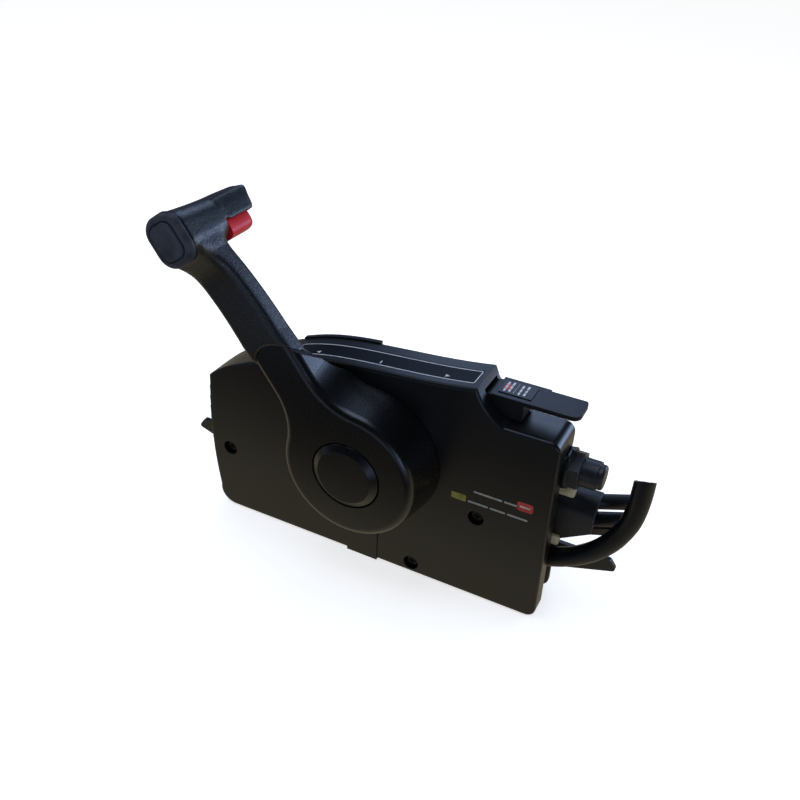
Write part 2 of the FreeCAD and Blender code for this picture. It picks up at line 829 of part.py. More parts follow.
def hub_cover():
    blank = hub_blank()
    face_edges = []
    for edge in blank.Edges:
        extent = edge.BoundBox
        on_face = abs(extent.YMin - hub_face_y) < 1e-3 and abs(extent.YMax - hub_face_y) < 1e-3
        if on_face and extent.ZMin < neck_end_centre:
            face_edges.append(edge)
    hub = blank.makeFillet(hub_edge_radius, face_edges).common(neck_limit(0.0))
    hub = hub.cut(neck_underside_cutter())
    hub = hub.cut(cylinder_y(0, 0, hub_cavity_radius, forward(hub_cavity_depth), hub_back_y + 1))
    boss = cylinder_y(0, 0, hub_boss_radius, forward(hub_cavity_depth + 1), hub_back_y - 1.0)
    hub = hub.fuse(boss)
    pocket_floor = forward(hub_face - button_pocket_depth)
    hub = hub.cut(cylinder_y(0, 0, button_pocket_radius, hub_face_y - 1, pocket_floor))
    hub = hub.cut(cylinder_y(0, 0, spring_well_radius, pocket_floor, forward(spring_well_floor)))
    hub = hub.cut(cylinder_y(0, 0, shaft_radius, forward(shaft_front), hub_back_y + 1))
    stem_hole = button_stem_radius + slide_clearance
    hub = hub.cut(cylinder_y(0, 0, stem_hole, hub_face_y, hub_back_y))
    # tongue that the upper arm slides over
    tongue = box(-tongue_half_width, tongue_half_width, forward(tongue_front), forward(tongue_back),
                 neck_end_centre, tongue_reach)
    hub = hub.fuse(tongue)
    for place in arm_screw_places:
        x = arm_screw_offset(place)
        hub = hub.cut(cylinder_y(x, place, arm_screw_radius, forward(tongue_front + 1), forward(tongue_back - 1)))
    # channel for the lock rod and the slot its pawl slides in
    hub = hub.cut(rod_channel(pawl_bottom - slide_clearance, tongue_reach + 1))
    slot_side = pawl_half_width + slide_clearance
    slot_end = pawl_top + trigger_travel + slide_clearance
    hub = hub.cut(box(-slot_side, slot_side, forward(lock_rod_forward + lock_rod_radius + slide_clearance),
                      forward(hub_cavity_depth - 1), pawl_bottom - slide_clearance, slot_end))
    return rest(hub)


def arm_screw_offset(place):
    """The two arm screws stand on either side of the lock rod."""
    side = -1 if place == arm_screw_places[0] else 1
    return side * (tongue_half_width - arm_screw_radius - 0.9)


def rod_channel(start, end):
    radius = lock_rod_radius + slide_clearance
    return Part.makeCylinder(radius, end - start, V(0, forward(lock_rod_forward), start), AXIS_Z)


# Upper arm and grip

def arm_blank():
    """Arm between the neck and the grip: curved in side view, tapered in front view."""
    low = arm_stations[0][0]
    high = arm_stations[-1][0]
    reach = 2 * arm_low_half_width
    front = Part.BSplineCurve()
    front.interpolate([V(-reach, forward(front), z) for z, front, back in arm_stations])
    back = Part.BSplineCurve()
    back.interpolate([V(-reach, forward(back), z) for z, front, back in arm_stations])
    foot = line(back.StartPoint, front.StartPoint)
    head = line(front.EndPoint, back.EndPoint)
    side = Part.Face(Part.Wire([foot, front.toShape(), head, back.toShape()]))
    side = side.extrude(V(2 * reach, 0, 0))
    y_start = forward(2 * hub_face)
    corners = [V(-arm_low_half_width, y_start, low), V(arm_low_half_width, y_start, low),
               V(arm_high_half_width, y_start, high), V(-arm_high_half_width, y_start, high)]
    taper = Part.Face(Part.makePolygon(corners + corners[:1])).extrude(V(0, 2 * hub_face, 0))
    blank = side.common(taper)
    long_edges = [edge for edge in blank.Edges if edge.BoundBox.ZLength > 0.9 * (high - low)]
    return blank.makeFillet(arm_corner_radius, long_edges)


def grip_section(distance, centre, half_height, half_width, corner):
    return rounded_rectangle(0, centre, half_width, half_height, corner,
                             lambda t, s: V(t, forward(distance), s))


def grip_loft():
    wires = []
    for distance, centre, half_height, half_width in grip_stations:
        wires.append(grip_section(distance, centre, half_height, half_width, grip_corner_radius))
    grip = Part.makeLoft(wires, True, False)
    back = forward(grip_stations[-1][0])
    back_edges = []
    for edge in grip.Edges:
        if abs(edge.BoundBox.YMin - back) < 1e-3 and abs(edge.BoundBox.YMax - back) < 1e-3:
            back_edges.append(edge)
    return grip.makeFillet(grip_end_radius, back_edges)


def upper_arm():
    arm = arm_blank().fuse(grip_loft())
    arm = arm.cut(neck_limit(seam_gap))
    # pocket that the trigger slides up into
    side = trigger_half_width + slide_clearance
    front = trigger_front + slide_clearance
    back = trigger_back - slide_clearance
    top = trigger_top + trigger_travel + slide_clearance
    arm = arm.cut(box(-side, side, forward(front), forward(back), 120, top))
    under = trigger_top + slide_clearance
    arm = arm.cut(box(-40, 40, forward(front), forward(back - 20), 130, under))
    # slot for the hub's tongue, and the lock rod's bore
    arm = arm.cut(box(-tongue_half_width, tongue_half_width, forward(tongue_front), forward(tongue_back),
                      0, tongue_reach))
    arm = arm.cut(rod_channel(60, trigger_bottom + 6))
    arm = arm.cut(trigger_foot(slide_clearance, trigger_travel))
    for place in arm_screw_places:
        x = arm_screw_offset(place)
        arm = arm.cut(cylinder_y(x, place, arm_screw_radius, forward(tongue_front + 2), forward(0)))
        arm = arm.cut(cylinder_y(x, place, arm_screw_head + seam_gap, forward(tongue_back - 1.4), forward(0)))
    return rest(arm.cut(cap_spigot(seam_gap)))


def trigger_foot(clearance, travel):
    """Foot that joins the trigger to the lock rod in front of it."""
    side = pawl_half_width + clearance
    front = lock_rod_forward + lock_rod_radius + clearance
    return box(-side, side, forward(front), forward(trigger_front - 1), trigger_bottom + 3 - clearance,
               trigger_bottom + 9 + clearance + travel)


def arm_screws():
    screws = []
    for place in arm_screw_places:
        x = arm_screw_offset(place)
        seat = forward(tongue_back - 1.4)
        head = cylinder_y(x, place, arm_screw_head, seat, seat + 2.0)
        shank = cylinder_y(x, place, arm_screw_radius, forward(tongue_front + 1.5), seat)
        socket = cylinder_y(x, place, 1.3, seat + 1.0, seat + 3)
        screws.append(head.fuse(shank).cut(socket))
    return rest(Part.makeCompound(screws))


def cap_spigot(clearance):
    """Plug on the back of the cap that seats in the grip."""
    distance, centre, half_height, half_width = grip_stations[0]
    wire = rounded_rectangle(0, centre, half_width - 4 + clearance, half_height - 4 + clearance, 6.0,
                             lambda t, s: V(t, forward(distance), s))
    return Part.Face(wire).extrude(V(0, 5.0 + clearance, 0))


def grip_cap():
    """End cap with a soft edge, a thin groove and a raised centre panel."""
    distance, centre, half_height, half_width = grip_stations[0]
    lip = 0.9
    wire = grip_section(distance + lip, centre, half_height + cap_overhang, half_width + cap_overhang,
                        grip_corner_radius + cap_overhang)
    cap = Part.Face(wire).extrude(V(0, -(cap_thickness - lip), 0))
    front = forward(distance + cap_thickness)
    edges = []
    for edge in cap.Edges:
        if abs(edge.BoundBox.YMax - front) < 1e-3:
            edges.append(edge)
    cap = cap.makeFillet(cap_edge_radius, edges)
    waist = grip_section(distance, centre, half_height - 0.8, half_width - 0.8, grip_corner_radius - 0.8)
    cap = cap.fuse(Part.Face(waist).extrude(V(0, -lip - 0.2, 0)))
    margin = cap_panel_margin
    outer = grip_section(distance + cap_thickness + 1, centre, half_height - margin, half_width - margin,
                         grip_corner_radius - margin)
    groove = Part.Face(outer).extrude(V(0, 1 + cap_groove_depth, 0))
    cap = cap.cut(groove)
    inner_margin = margin + cap_groove_width
    panel_wire = grip_section(distance + cap_thickness + cap_panel_rise, centre, half_height - inner_margin,
                              half_width - inner_margin, grip_corner_radius - inner_margin)
    panel = Part.Face(panel_wire).extrude(V(0, cap_panel_rise + cap_groove_depth + 0.2, 0))
    panel_front = forward(distance + cap_thickness + cap_panel_rise)
    edges = [edge for edge in panel.Edges if abs(edge.BoundBox.YMax - panel_front) < 1e-3]
    cap = cap.fuse(panel.makeFillet(0.6, edges))
    return rest(cap.fuse(cap_spigot(0.0)))


def release_trigger():
    """Red bar under the grip; its back end is rounded like the grip's."""
    width = trigger_half_width
    bar = box(-width, width, forward(trigger_front), forward(trigger_back), trigger_bottom, trigger_top)
    low_edges = []
    for edge in bar.Edges:
        extent = edge.BoundBox
        runs_along = extent.YLength > 10 and extent.ZMax < trigger_bottom + 0.1
        end_edge = extent.YMin > forward(trigger_back) - 0.1 and extent.ZMax < trigger_top - 0.1
        side_edge = extent.YMin > forward(trigger_back) - 0.1 and extent.XLength < 0.1
        if runs_along or end_edge or side_edge:
            low_edges.append(edge)
    bar = bar.makeFillet(trigger_edge_radius, low_edges)
    bar = bar.fuse(trigger_foot(0.0, 0.0))
    return rest(bar)


def lock_rod():
    """Rod down the arm, with the pawl at its lower end that drops into the neutral notch."""
    rod = Part.makeCylinder(lock_rod_radius, trigger_bottom + 3 - pawl_top + 1,
                            V(0, forward(lock_rod_forward), pawl_top - 1), AXIS_Z)
    pawl = box(-pawl_half_width, pawl_half_width, forward(lock_rod_forward + lock_rod_radius),
               forward(pawl_reach), pawl_bottom, pawl_top)
    return rest(rod.fuse(pawl))


def lock_ring():
    """Ring on the cover's face with the notch that holds the lever in neutral."""
    ring = cylinder_y(0, 0, lock_ring_radius, forward(lock_ring_height), front_y)
    ring = ring.cut(cylinder_y(0, 0, lock_ring_inner, forward(lock_ring_height + 1), front_y + 1))
    notch_side = pawl_half_width + 0.5
    floor = lock_ring_radius - lock_notch_depth
    return ring.cut(box(-notch_side, notch_side, forward(lock_ring_height + 1), front_y + 1, floor, 40))


# Button in the hub

def throttle_button():
    """Push button: a round disc with a tapered flank, on a stem inside the hollow shaft."""
    base_y = hub_face_y + button_base
    skirt = cylinder_y(0, 0, button_radius, hub_face_y, base_y)
    flank = Part.makeCone(button_radius, button_top_radius, button_proud, V(0, hub_face_y, 0), V(0, -1, 0))
    rim = [edge for edge in flank.Edges if abs(edge.BoundBox.YMax - (hub_face_y - button_proud)) < 1e-3]
    flank = flank.makeFillet(0.7, rim)
    stem = cylinder_y(0, 0, button_stem_radius, base_y - 0.5, base_y + button_stem_length)
    return rest(skirt.fuse(flank).fuse(stem))


def button_spring():
    """Round-wire coil in its well, drawn at the length it has with the button pressed."""
    length = hub_face - button_base - button_travel - spring_well_floor - 2 * seam_gap
    pitch = (length - 2 * button_spring_wire) / button_spring_turns
    helix = Part.makeHelix(pitch, pitch * button_spring_turns, button_spring_radius)
    profile = Part.Wire([Part.makeCircle(button_spring_wire, V(button_spring_radius, 0, 0), AXIS_Y)])
    spring = Part.Wire(helix.Edges).makePipeShell([profile], True, True)
    start = V(0, forward(spring_well_floor) - button_spring_wire - seam_gap, 0)
    spring.Placement = FreeCAD.Placement(start, FreeCAD.Rotation(AXIS_Z, V(0, -1, 0)))
    return rest(spring)


# Shaft, bushings and detent

def main_shaft():
    shaft = cylinder_y(0, 0, shaft_radius, forward(shaft_front), shaft_back_y)
    shaft = shaft.cut(cylinder_y(0, 0, shaft_bore, forward(shaft_front + 1), -8))
    return rest(shaft)


def bushing(start, end):
    """Bush that the shaft runs in."""
    body = cylinder_y(0, 0, shaft_radius + bushing_wall, start, end)
    return body.cut(cylinder_y(0, 0, shaft_radius + running_clearance, start - 1, end + 1))


def front_bushing():
    flange_radius = shaft_radius + bushing_wall + bushing_flange
    flange = cylinder_y(0, 0, flange_radius, front_y, front_y + bushing_flange)
    flange = flange.cut(cylinder_y(0, 0, shaft_radius + bushing_wall, front_y - 1, front_y + bushing_flange + 1))
    return flange.fuse(bushing(front_y, front_y + bushing_length))


def rear_bushing():
    floor_y = case_depth - case_wall
    return bushing(floor_y - bushing_length, floor_y)


def detent_disc():
    """Disc with a notch for each of forward, neutral and reverse."""
    end = detent_disc_y + detent_disc_thickness
    disc = cylinder_y(0, 0, detent_disc_radius, detent_disc_y, end)
    disc = disc.cut(cylinder_y(0, 0, shaft_radius, detent_disc_y - 1, end + 1))
    for angle in detent_angles:
        # the roller stands on +X, so the notch for a lever angle is turned back by it
        x, z = polar(detent_disc_radius + detent_notch_offset, angle)
        disc = disc.cut(cylinder_y(x, z, detent_notch_radius, detent_disc_y - 1, end + 1))
    for turn in detent_hole_angles:
        x, z = polar((detent_disc_radius + shaft_radius) / 2, turn)
        disc = disc.cut(cylinder_y(x, z, detent_hole_radius, detent_disc_y - 1, end + 1))
    return rest(disc)


def detent_roller():
    x = detent_disc_radius + slide_clearance + detent_roller_radius
    y_start = detent_disc_y + 0.3
    y_end = detent_disc_y + detent_disc_thickness - 0.3
    roller = cylinder_y(x, 0, detent_roller_radius, y_start, y_end)
    return roller.cut(cylinder_y(x, 0, detent_pin_radius + 0.05, y_start - 1, y_end + 1))


def detent_leaf_x():
    return detent_disc_radius + slide_clearance + 2 * detent_roller_radius + detent_leaf_gap


def detent_spring():
    """Leaf spring that presses the roller on the disc; its pin sits between two ears."""
    x = detent_disc_radius + slide_clearance + detent_roller_radius
    y_middle = detent_disc_y + detent_disc_thickness / 2
    y_start = y_middle - detent_spring_width / 2
    y_end = y_middle + detent_spring_width / 2
    leaf_x = detent_leaf_x()
    thickness = detent_spring_thickness
    spring = box(leaf_x, leaf_x + thickness, y_start, y_end, detent_foot_z, detent_leaf_top)
    spring = spring.fuse(box(leaf_x, leaf_x + detent_foot_reach, y_start, y_end, detent_foot_z,
                             detent_foot_z + thickness))
    ear_inner = detent_disc_thickness / 2 + 0.05
    ear = detent_ear_reach
    for low, high in ((y_start, y_middle - ear_inner), (y_middle + ear_inner, y_end)):
        spring = spring.fuse(box(x - ear, leaf_x + 0.1, low, high, -ear, ear))
    return spring.fuse(cylinder_y(x, 0, detent_pin_radius, y_start, y_end))


def detent_bracket():
    """Angle bracket that carries the leaf spring, standing on the mounting plate's edge."""
    x = detent_leaf_x()
    y_start = detent_disc_y + detent_disc_thickness / 2 - detent_spring_width / 2
    shelf_z = detent_foot_z - detent_bracket_thickness
    shelf = box(x, x + detent_foot_reach, y_start, cover_back_y, shelf_z, detent_foot_z)
    leg = box(x, x + detent_foot_reach, cover_back_y - detent_bracket_thickness, cover_back_y,
              detent_leg_bottom, detent_foot_z)
    return shelf.fuse(leg)


# Gears

def involute(angle):
    return math.tan(angle) - angle


def tooth_points(teeth, thin):
    """Half outlines of one tooth, as (radius, half angle) pairs from root to tip."""
    pitch = gear_module * teeth / 2
    base = pitch * math.cos(math.radians(pressure_angle))
    tip = pitch + gear_module - 0.1
    root = pitch - gear_module - tip_clearance
    half_pitch_angle = math.pi / (2 * teeth) - thin / (2 * pitch)
    at_pitch = involute(math.radians(pressure_angle))
    rows = [(root, half_pitch_angle + at_pitch)]
    start = max(base, root)
    for step in range(flank_steps + 1):
        radius = start + (tip - start) * step / flank_steps
        angle = math.acos(min(1.0, base / radius))
        rows.append((radius, half_pitch_angle + at_pitch - involute(angle)))
    return rows


def gear_outline(teeth, first, last):
    """Points of the teeth from first to last, tooth 0 pointing along +X."""
    step = 2 * math.pi / teeth
    rows = tooth_points(teeth, gear_backlash / 2)
    points = []
    for index in range(first, last + 1):
        centre = index * step
        for radius, half in rows:
            points.append((radius, centre - half))
        for radius, half in reversed(rows):
            points.append((radius, centre + half))
    return [V(radius * math.cos(turn), gear_y, radius * math.sin(turn)) for radius, turn in points]


def sector_gear(teeth, facing, crank_angle, x, z):
    """Toothed sector with a crank arm for the cable, turning on a fixed pin."""
    step = 360.0 / teeth
    ratio = drive_teeth / teeth
    first = -math.ceil((reverse_travel * ratio + sector_margin) / step)
    last = math.ceil((forward_travel * ratio + sector_margin) / step)
    points = gear_outline(teeth, first, last) + [V(0, gear_y, 0)]
    gear = Part.Face(Part.makePolygon(points + points[:1])).extrude(V(0, gear_width, 0))
    gear.rotate(ORIGIN, AXIS_Y, -facing)
    gear = gear.fuse(cylinder_y(0, 0, gear_hub_radius, gear_y, gear_y + gear_width + crank_thickness))
    end_x, end_z = polar(crank_reach, crank_angle)
    arm_y = gear_y + gear_width
    arm = cylinder_y(end_x, end_z, crank_end_radius, arm_y, arm_y + crank_thickness)
    bar = box(0, crank_reach, arm_y, arm_y + crank_thickness, -crank_end_radius, crank_end_radius)
    bar.rotate(ORIGIN, AXIS_Y, -crank_angle)
    gear = gear.fuse(bar).fuse(arm)
    gear = gear.cut(cylinder_y(end_x, end_z, crank_hole_radius, arm_y - 1, arm_y + crank_thickness + 1))
    bore = gear_pin_radius + running_clearance
    gear = gear.cut(cylinder_y(0, 0, bore, gear_y - 1, arm_y + crank_thickness + 1))
    gear.translate(V(x, 0, z))
    return gear


def drive_gear():
    """Spur gear on the shaft; at rest one of its teeth points at the shift gear."""
    points = gear_outline(drive_teeth, 0, drive_teeth - 1)
    gear = Part.Face(Part.makePolygon(points + points[:1])).extrude(V(0, gear_width, 0))
    gear = gear.cut(cylinder_y(0, 0, shaft_radius, gear_y - 1, gear_y + gear_width + 1))
    gear.rotate(ORIGIN, AXIS_Y, -shift_gear_direction)
    return gear


def shift_gear():
    x, z = gear_centre(shift_radius, shift_gear_direction)
    facing = shift_gear_direction + 180 + 180.0 / shift_teeth
    return sector_gear(shift_teeth, facing, shift_crank_angle, x, z)


def throttle_gear():
    x, z = gear_centre(throttle_radius, throttle_gear_direction)
    # the drive gear's nearest tooth stands off this line by a part of a tooth
    pitch = 360.0 / drive_teeth
    off = (throttle_gear_direction - shift_gear_direction + pitch / 2) % pitch - pitch / 2
    facing = throttle_gear_direction + 180 + 180.0 / throttle_teeth + off * drive_teeth / throttle_teeth
    return sector_gear(throttle_teeth, facing, throttle_crank_angle, x, z)


def gear_pins():
    """Headed pins that the two driven gears turn on."""
    pins = []
    floor_y = case_depth - case_wall
    for radius, direction in ((shift_radius, shift_gear_direction), (throttle_radius, throttle_gear_direction)):
        x, z = gear_centre(radius, direction)
        pin = cylinder_y(x, z, gear_pin_radius, gear_y - 0.5, floor_y)
        head = cylinder_y(x, z, gear_pin_radius + 2, gear_y - 0.5 - gear_pin_head, gear_y - 0.4)
        pins.append(pin.fuse(head))
    return Part.makeCompound(pins)


# Friction brake

def friction_shoe():
    """Nylon shoe whose hollow end bears on the shaft from below."""
    top = -shaft_radius + 2.5
    shoe = box(-shoe_width, shoe_width, shoe_y - shoe_half_thickness, shoe_y + shoe_half_thickness,
               -shaft_radius - shoe_height, top)
    return shoe.cut(cylinder_y(0, 0, shaft_radius + running_clearance, shoe_y - 6, shoe_y + 6))


def friction_screw():
    """Screw through the case's floor that presses the shoe on the shaft."""
    top = -shaft_radius - shoe_height
    screw = cylinder_z(0, shoe_y, friction_screw_radius, -case_bottom - 1, top)
    head = cylinder_z(0, shoe_y, friction_screw_radius + 3, -case_bottom - 4, -case_bottom)
    slot = box(-7, 7, shoe_y - 0.7, shoe_y + 0.7, -case_bottom - 5, -case_bottom - 2.6)
    return screw.fuse(head).cut(slot)


# Fast idle lever

def fast_idle_lever():
    """Thin tab on a web, turning about a barrel let into the cover's step."""
    top = idle_tab_top
    low = top - idle_tab_thickness
    tab = box(idle_tab_left, idle_tab_right, idle_tab_front, idle_tab_back, low, top)
    corners = []
    for edge in tab.Edges:
        extent = edge.BoundBox
        if extent.ZLength > 1 and extent.XMin > idle_tab_right - 1:
            corners.append(edge)
    tab = tab.makeFillet(idle_tab_corner, corners)
    tab = tab.cut(box(98, idle_tab_right + 1, idle_tab_back - 1.4, idle_tab_back + 1, low - 1, top + 1))
    front = idle_barrel_front
    back = idle_barrel_back
    web_points = [
        V(idle_tab_left, front, low + 0.5),
        V(idle_web_right, front, low + 0.5),
        V(idle_web_right - 4, front, low - 4),
        V(idle_pivot_x + 2, front, idle_pivot_z - idle_barrel_radius + 0.3),
        V(idle_pivot_x - 2, front, idle_pivot_z + 2),
        V(idle_tab_left, front, low + 0.5),
    ]
    web = Part.Face(Part.makePolygon(web_points)).extrude(V(0, back - front, 0))
    barrel = cylinder_y(idle_pivot_x, idle_pivot_z, idle_barrel_radius, front, back)
    bore = cylinder_y(idle_pivot_x, idle_pivot_z, idle_pin_radius + running_clearance, front - 1, back + 1)
    lever = tab.fuse(web).fuse(barrel).cut(bore)
    return lever


def fast_idle_plate():
    """Thin instruction plate, bare but for plain bars, on the tab's top."""
    x_start = idle_tab_left + idle_plate_margin - 1
    y_end = idle_tab_back - idle_plate_margin
    return box(x_start, x_start + idle_plate_length, y_end - idle_plate_width, y_end, idle_tab_top,
               idle_tab_top + idle_plate_thickness)


def fast_idle_pin():
    return cylinder_y(idle_pivot_x, idle_pivot_z, idle_pin_radius, inner_front_y - idle_pin_seat, cover_back_y)


# Stop switch

def switch_place(shape):
    """From a switch drawn along +X from the origin to where it sits."""
    placed = shape.copy()
    placed.translate(V(switch_x, switch_y, switch_z))
    return placed


def bar_x(radius, start, end):
    return Part.makeCylinder(radius, end - start, V(start, 0, 0), AXIS_X)


def switch_stations():
    """Where each piece of the switch starts along its own axis, from the bracket's inner face."""
    ring = switch_bracket_thickness
    nut = ring + switch_ring_thickness
    barrel = nut + switch_nut_thickness
    end = barrel + switch_barrel_length
    return ring, nut, barrel, end


def stop_switch_body():
    ring, nut, barrel, end = switch_stations()
    neck = bar_x(switch_neck_radius, -switch_neck_length, barrel + 1)
    case = bar_x(switch_barrel_radius, barrel, end)
    mouth = [edge for edge in case.Edges if abs(edge.BoundBox.XMin - end) < 1e-3]
    case = case.makeFillet(0.5, mouth)
    body = neck.fuse(case)
    for side in (-1, 1):
        z = side * switch_blade_offset
        blade = box(-switch_neck_length - switch_blade_length, -switch_neck_length, -switch_blade_half,
                    switch_blade_half, z - switch_blade_thickness, z + switch_blade_thickness)
        body = body.fuse(blade)
    bore = switch_button_radius + slide_clearance
    body = body.cut(bar_x(bore, end - switch_button_length, end + 1))
    return switch_place(body)


def stop_switch_button():
    ring, nut, barrel, end = switch_stations()
    start = end - switch_button_length + switch_button_travel + slide_clearance
    face_x = end + switch_button_proud
    button = bar_x(switch_button_radius, start, face_x)
    face = [edge for edge in button.Edges if abs(edge.BoundBox.XMin - face_x) < 1e-3]
    return switch_place(button.makeFillet(1.4, face))


def stop_switch_nut():
    ring, nut, barrel, end = switch_stations()
    blank = hexagon_prism(switch_nut_flats, switch_nut_thickness, V(nut, 0, 0), AXIS_X)
    return switch_place(blank.cut(bar_x(switch_neck_radius, nut - 1, barrel + 1)))


def stop_switch_ring():
    ring, nut, barrel, end = switch_stations()
    washer = bar_x(switch_ring_radius, ring, nut)
    tail = box(ring, nut, -1.8, 1.8, 0, switch_ring_radius + 1.2)
    washer = washer.fuse(tail)
    return switch_place(washer.cut(bar_x(switch_neck_radius, ring - 1, nut + 1)))


def switch_bracket():
    """Bent plate on the mounting plate that holds the switch."""
    thickness = switch_bracket_thickness
    low = switch_z - switch_bracket_half
    high = switch_z + switch_bracket_half
    wall_front = front_y + end_lip_depth + slide_clearance
    wall = box(switch_x, switch_x + thickness, wall_front, cover_back_y, low, high)
    foot_start = switch_x - switch_bracket_foot
    foot = box(foot_start, switch_x + thickness, cover_back_y - thickness, cover_back_y, low, high)
    bracket = wall.fuse(foot)
    return bracket.cut(switch_place(bar_x(switch_neck_radius, -1, thickness + 1)))


# Cable entry and harness

def cable_block():
    """Block on the rear case's end wall that the two cable sleeves are moulded into."""
    block = box(case_right, block_end_x, block_front_y, block_back_y, block_bottom_z, block_top_z)
    wedge = box(case_right - 1, block_end_x + 20, block_front_y - 20, block_front_y, block_bottom_z - 1,
                block_top_z + 1)
    wedge.rotate(V(case_right, block_front_y, 0), AXIS_Z, 8)
    block = block.cut(wedge)
    edges = []
    for edge in block.Edges:
        if edge.BoundBox.ZLength > 5 and edge.BoundBox.XMin > block_end_x - 1:
            edges.append(edge)
    block = block.makeFillet(2.0, edges)
    # shelf under the sleeves, running back beside them
    low = block_bottom_z - shelf_thickness
    corners = [V(shelf_start_x, block_front_y + 3, low), V(shelf_end[0], shelf_end[1], low),
               V(shelf_back[0], shelf_back[1], low), V(shelf_start_x, block_back_y, low)]
    shelf = Part.Face(Part.makePolygon(corners + corners[:1])).extrude(V(0, 0, shelf_thickness))
    block = block.fuse(shelf)
    for height in (upper_sleeve_z, lower_sleeve_z):
        start, direction = sleeve_axis(height)
        block = block.cut(Part.makeCylinder(sleeve_radius, 60, start, direction))
        block = block.cut(Part.makeCylinder(sleeve_bore, 60, start - direction * 50, direction))
    return block


def sleeve_axis(height):
    turn = math.radians(sleeve_turn)
    return V(sleeve_start_x, sleeve_y, height), V(math.cos(turn), math.sin(turn), 0)


def cable_sleeve(height):
    start, direction = sleeve_axis(height)
    sleeve = Part.makeCylinder(sleeve_radius, sleeve_length, start, direction)
    return sleeve.cut(Part.makeCylinder(sleeve_bore, sleeve_length + 2, start - direction, direction))


def nylon_nuts():
    """Two nylon nuts on the studs that stand out from the terminal bracket."""
    nuts = []
    for x, y, z in nylon_nut_places:
        blank = hexagon_prism(nylon_nut_flats, nylon_nut_length, V(x, y, z), AXIS_X)
        nuts.append(blank.cut(Part.makeCylinder(nylon_stud_radius, 30, V(x - 1, y, z), AXIS_X)))
    return Part.makeCompound(nuts)


def nut_studs():
    studs = []
    for x, y, z in nylon_nut_places:
        length = x + nylon_nut_length + 1 - terminal_x
        stud = Part.makeCylinder(nylon_stud_radius, length, V(terminal_x, y, z), AXIS_X)
        collar_x = terminal_x + terminal_thickness
        collar = Part.makeCylinder(stud_collar_radius, x - collar_x, V(collar_x, y, z), AXIS_X)
        studs.append(stud.fuse(collar))
    return Part.makeCompound(studs)


def grommet_bar(radius, length):
    """Bar along the harness's first run, ending where the harness starts."""
    (x, z), (next_x, next_z) = harness_points[:2]
    start = V(x, harness_y, z)
    direction = (start - V(next_x, harness_y, next_z)).normalize()
    return Part.makeCylinder(radius, length, start, direction)


def terminal_bracket():
    """Upright strip behind the end lip that carries both studs and the harness grommet."""
    end_x = terminal_x + terminal_thickness
    strip = box(terminal_x, end_x, terminal_front_y, cover_back_y, terminal_bottom, terminal_top)
    foot = box(terminal_x, end_x + terminal_foot, cover_back_y - terminal_thickness, cover_back_y,
               terminal_foot_bottom, terminal_foot_top)
    strip = strip.fuse(foot)
    for x, y, z in nylon_nut_places:
        strip = strip.cut(Part.makeCylinder(nylon_stud_radius, 40, V(terminal_x - 10, y, z), AXIS_X))
    return strip.cut(grommet_bar(grommet_radius - grommet_groove, grommet_length))


def harness_grommet():
    """Rubber plug clipped in the bracket; the harness starts on its outer face."""
    plug = grommet_bar(grommet_radius, grommet_length).cut(terminal_bracket())
    start = V(harness_points[0][0], harness_y, harness_points[0][1])
    rim = [edge for edge in plug.Edges
           if len(edge.Vertexes) == 1 and (edge.CenterOfMass - start).Length < 0.1]
    return plug.makeFillet(grommet_edge, rim)


def route_wire():
    """Straight runs of the harness joined by tangent arcs, each as large as its runs allow."""
    points = [V(x, harness_y, z) for x, z in harness_points]
    edges = []
    start = points[0]
    length = 0.0
    for index in range(1, len(points) - 1):
        corner = points[index]
        to_before = points[index - 1] - corner
        to_after = points[index + 1] - corner
        cut = 0.45 * min(to_before.Length, to_after.Length)
        before = to_before.normalize()
        after = to_after.normalize()
        turn = math.pi - before.getAngle(after)
        radius = cut / math.tan(turn / 2)
        arc_start = corner + before * cut
        arc_end = corner + after * cut
        bisector = (before + after).normalize()
        middle = corner + bisector * (radius / math.cos(turn / 2) - radius)
        edges.append(line(start, arc_start))
        edges.append(arc3(arc_start, middle, arc_end))
        length = length + (arc_start - start).Length + radius * turn
        start = arc_end
        print("harness radius", round(radius, 1), "turn", round(math.degrees(turn), 1))
    edges.append(line(start, points[-1]))
    length = length + (points[-1] - start).Length
    return Part.Wire(edges), length


def harness_lead():
    """Sleeved bundle of wires, from the grommet to its plain cut end."""
    wire, length = route_wire()
    start = wire.Vertexes[0].Point
    direction = wire.Edges[0].tangentAt(wire.Edges[0].FirstParameter)
    circle = Part.Wire([Part.makeCircle(harness_diameter / 2, start, direction)])
    lead = wire.makePipeShell([circle], True, False)
    section = math.pi * (harness_diameter / 2) ** 2
    print("harness length", round(length, 1), "volume ratio", round(lead.Volume / (section * length), 4))
    return lead


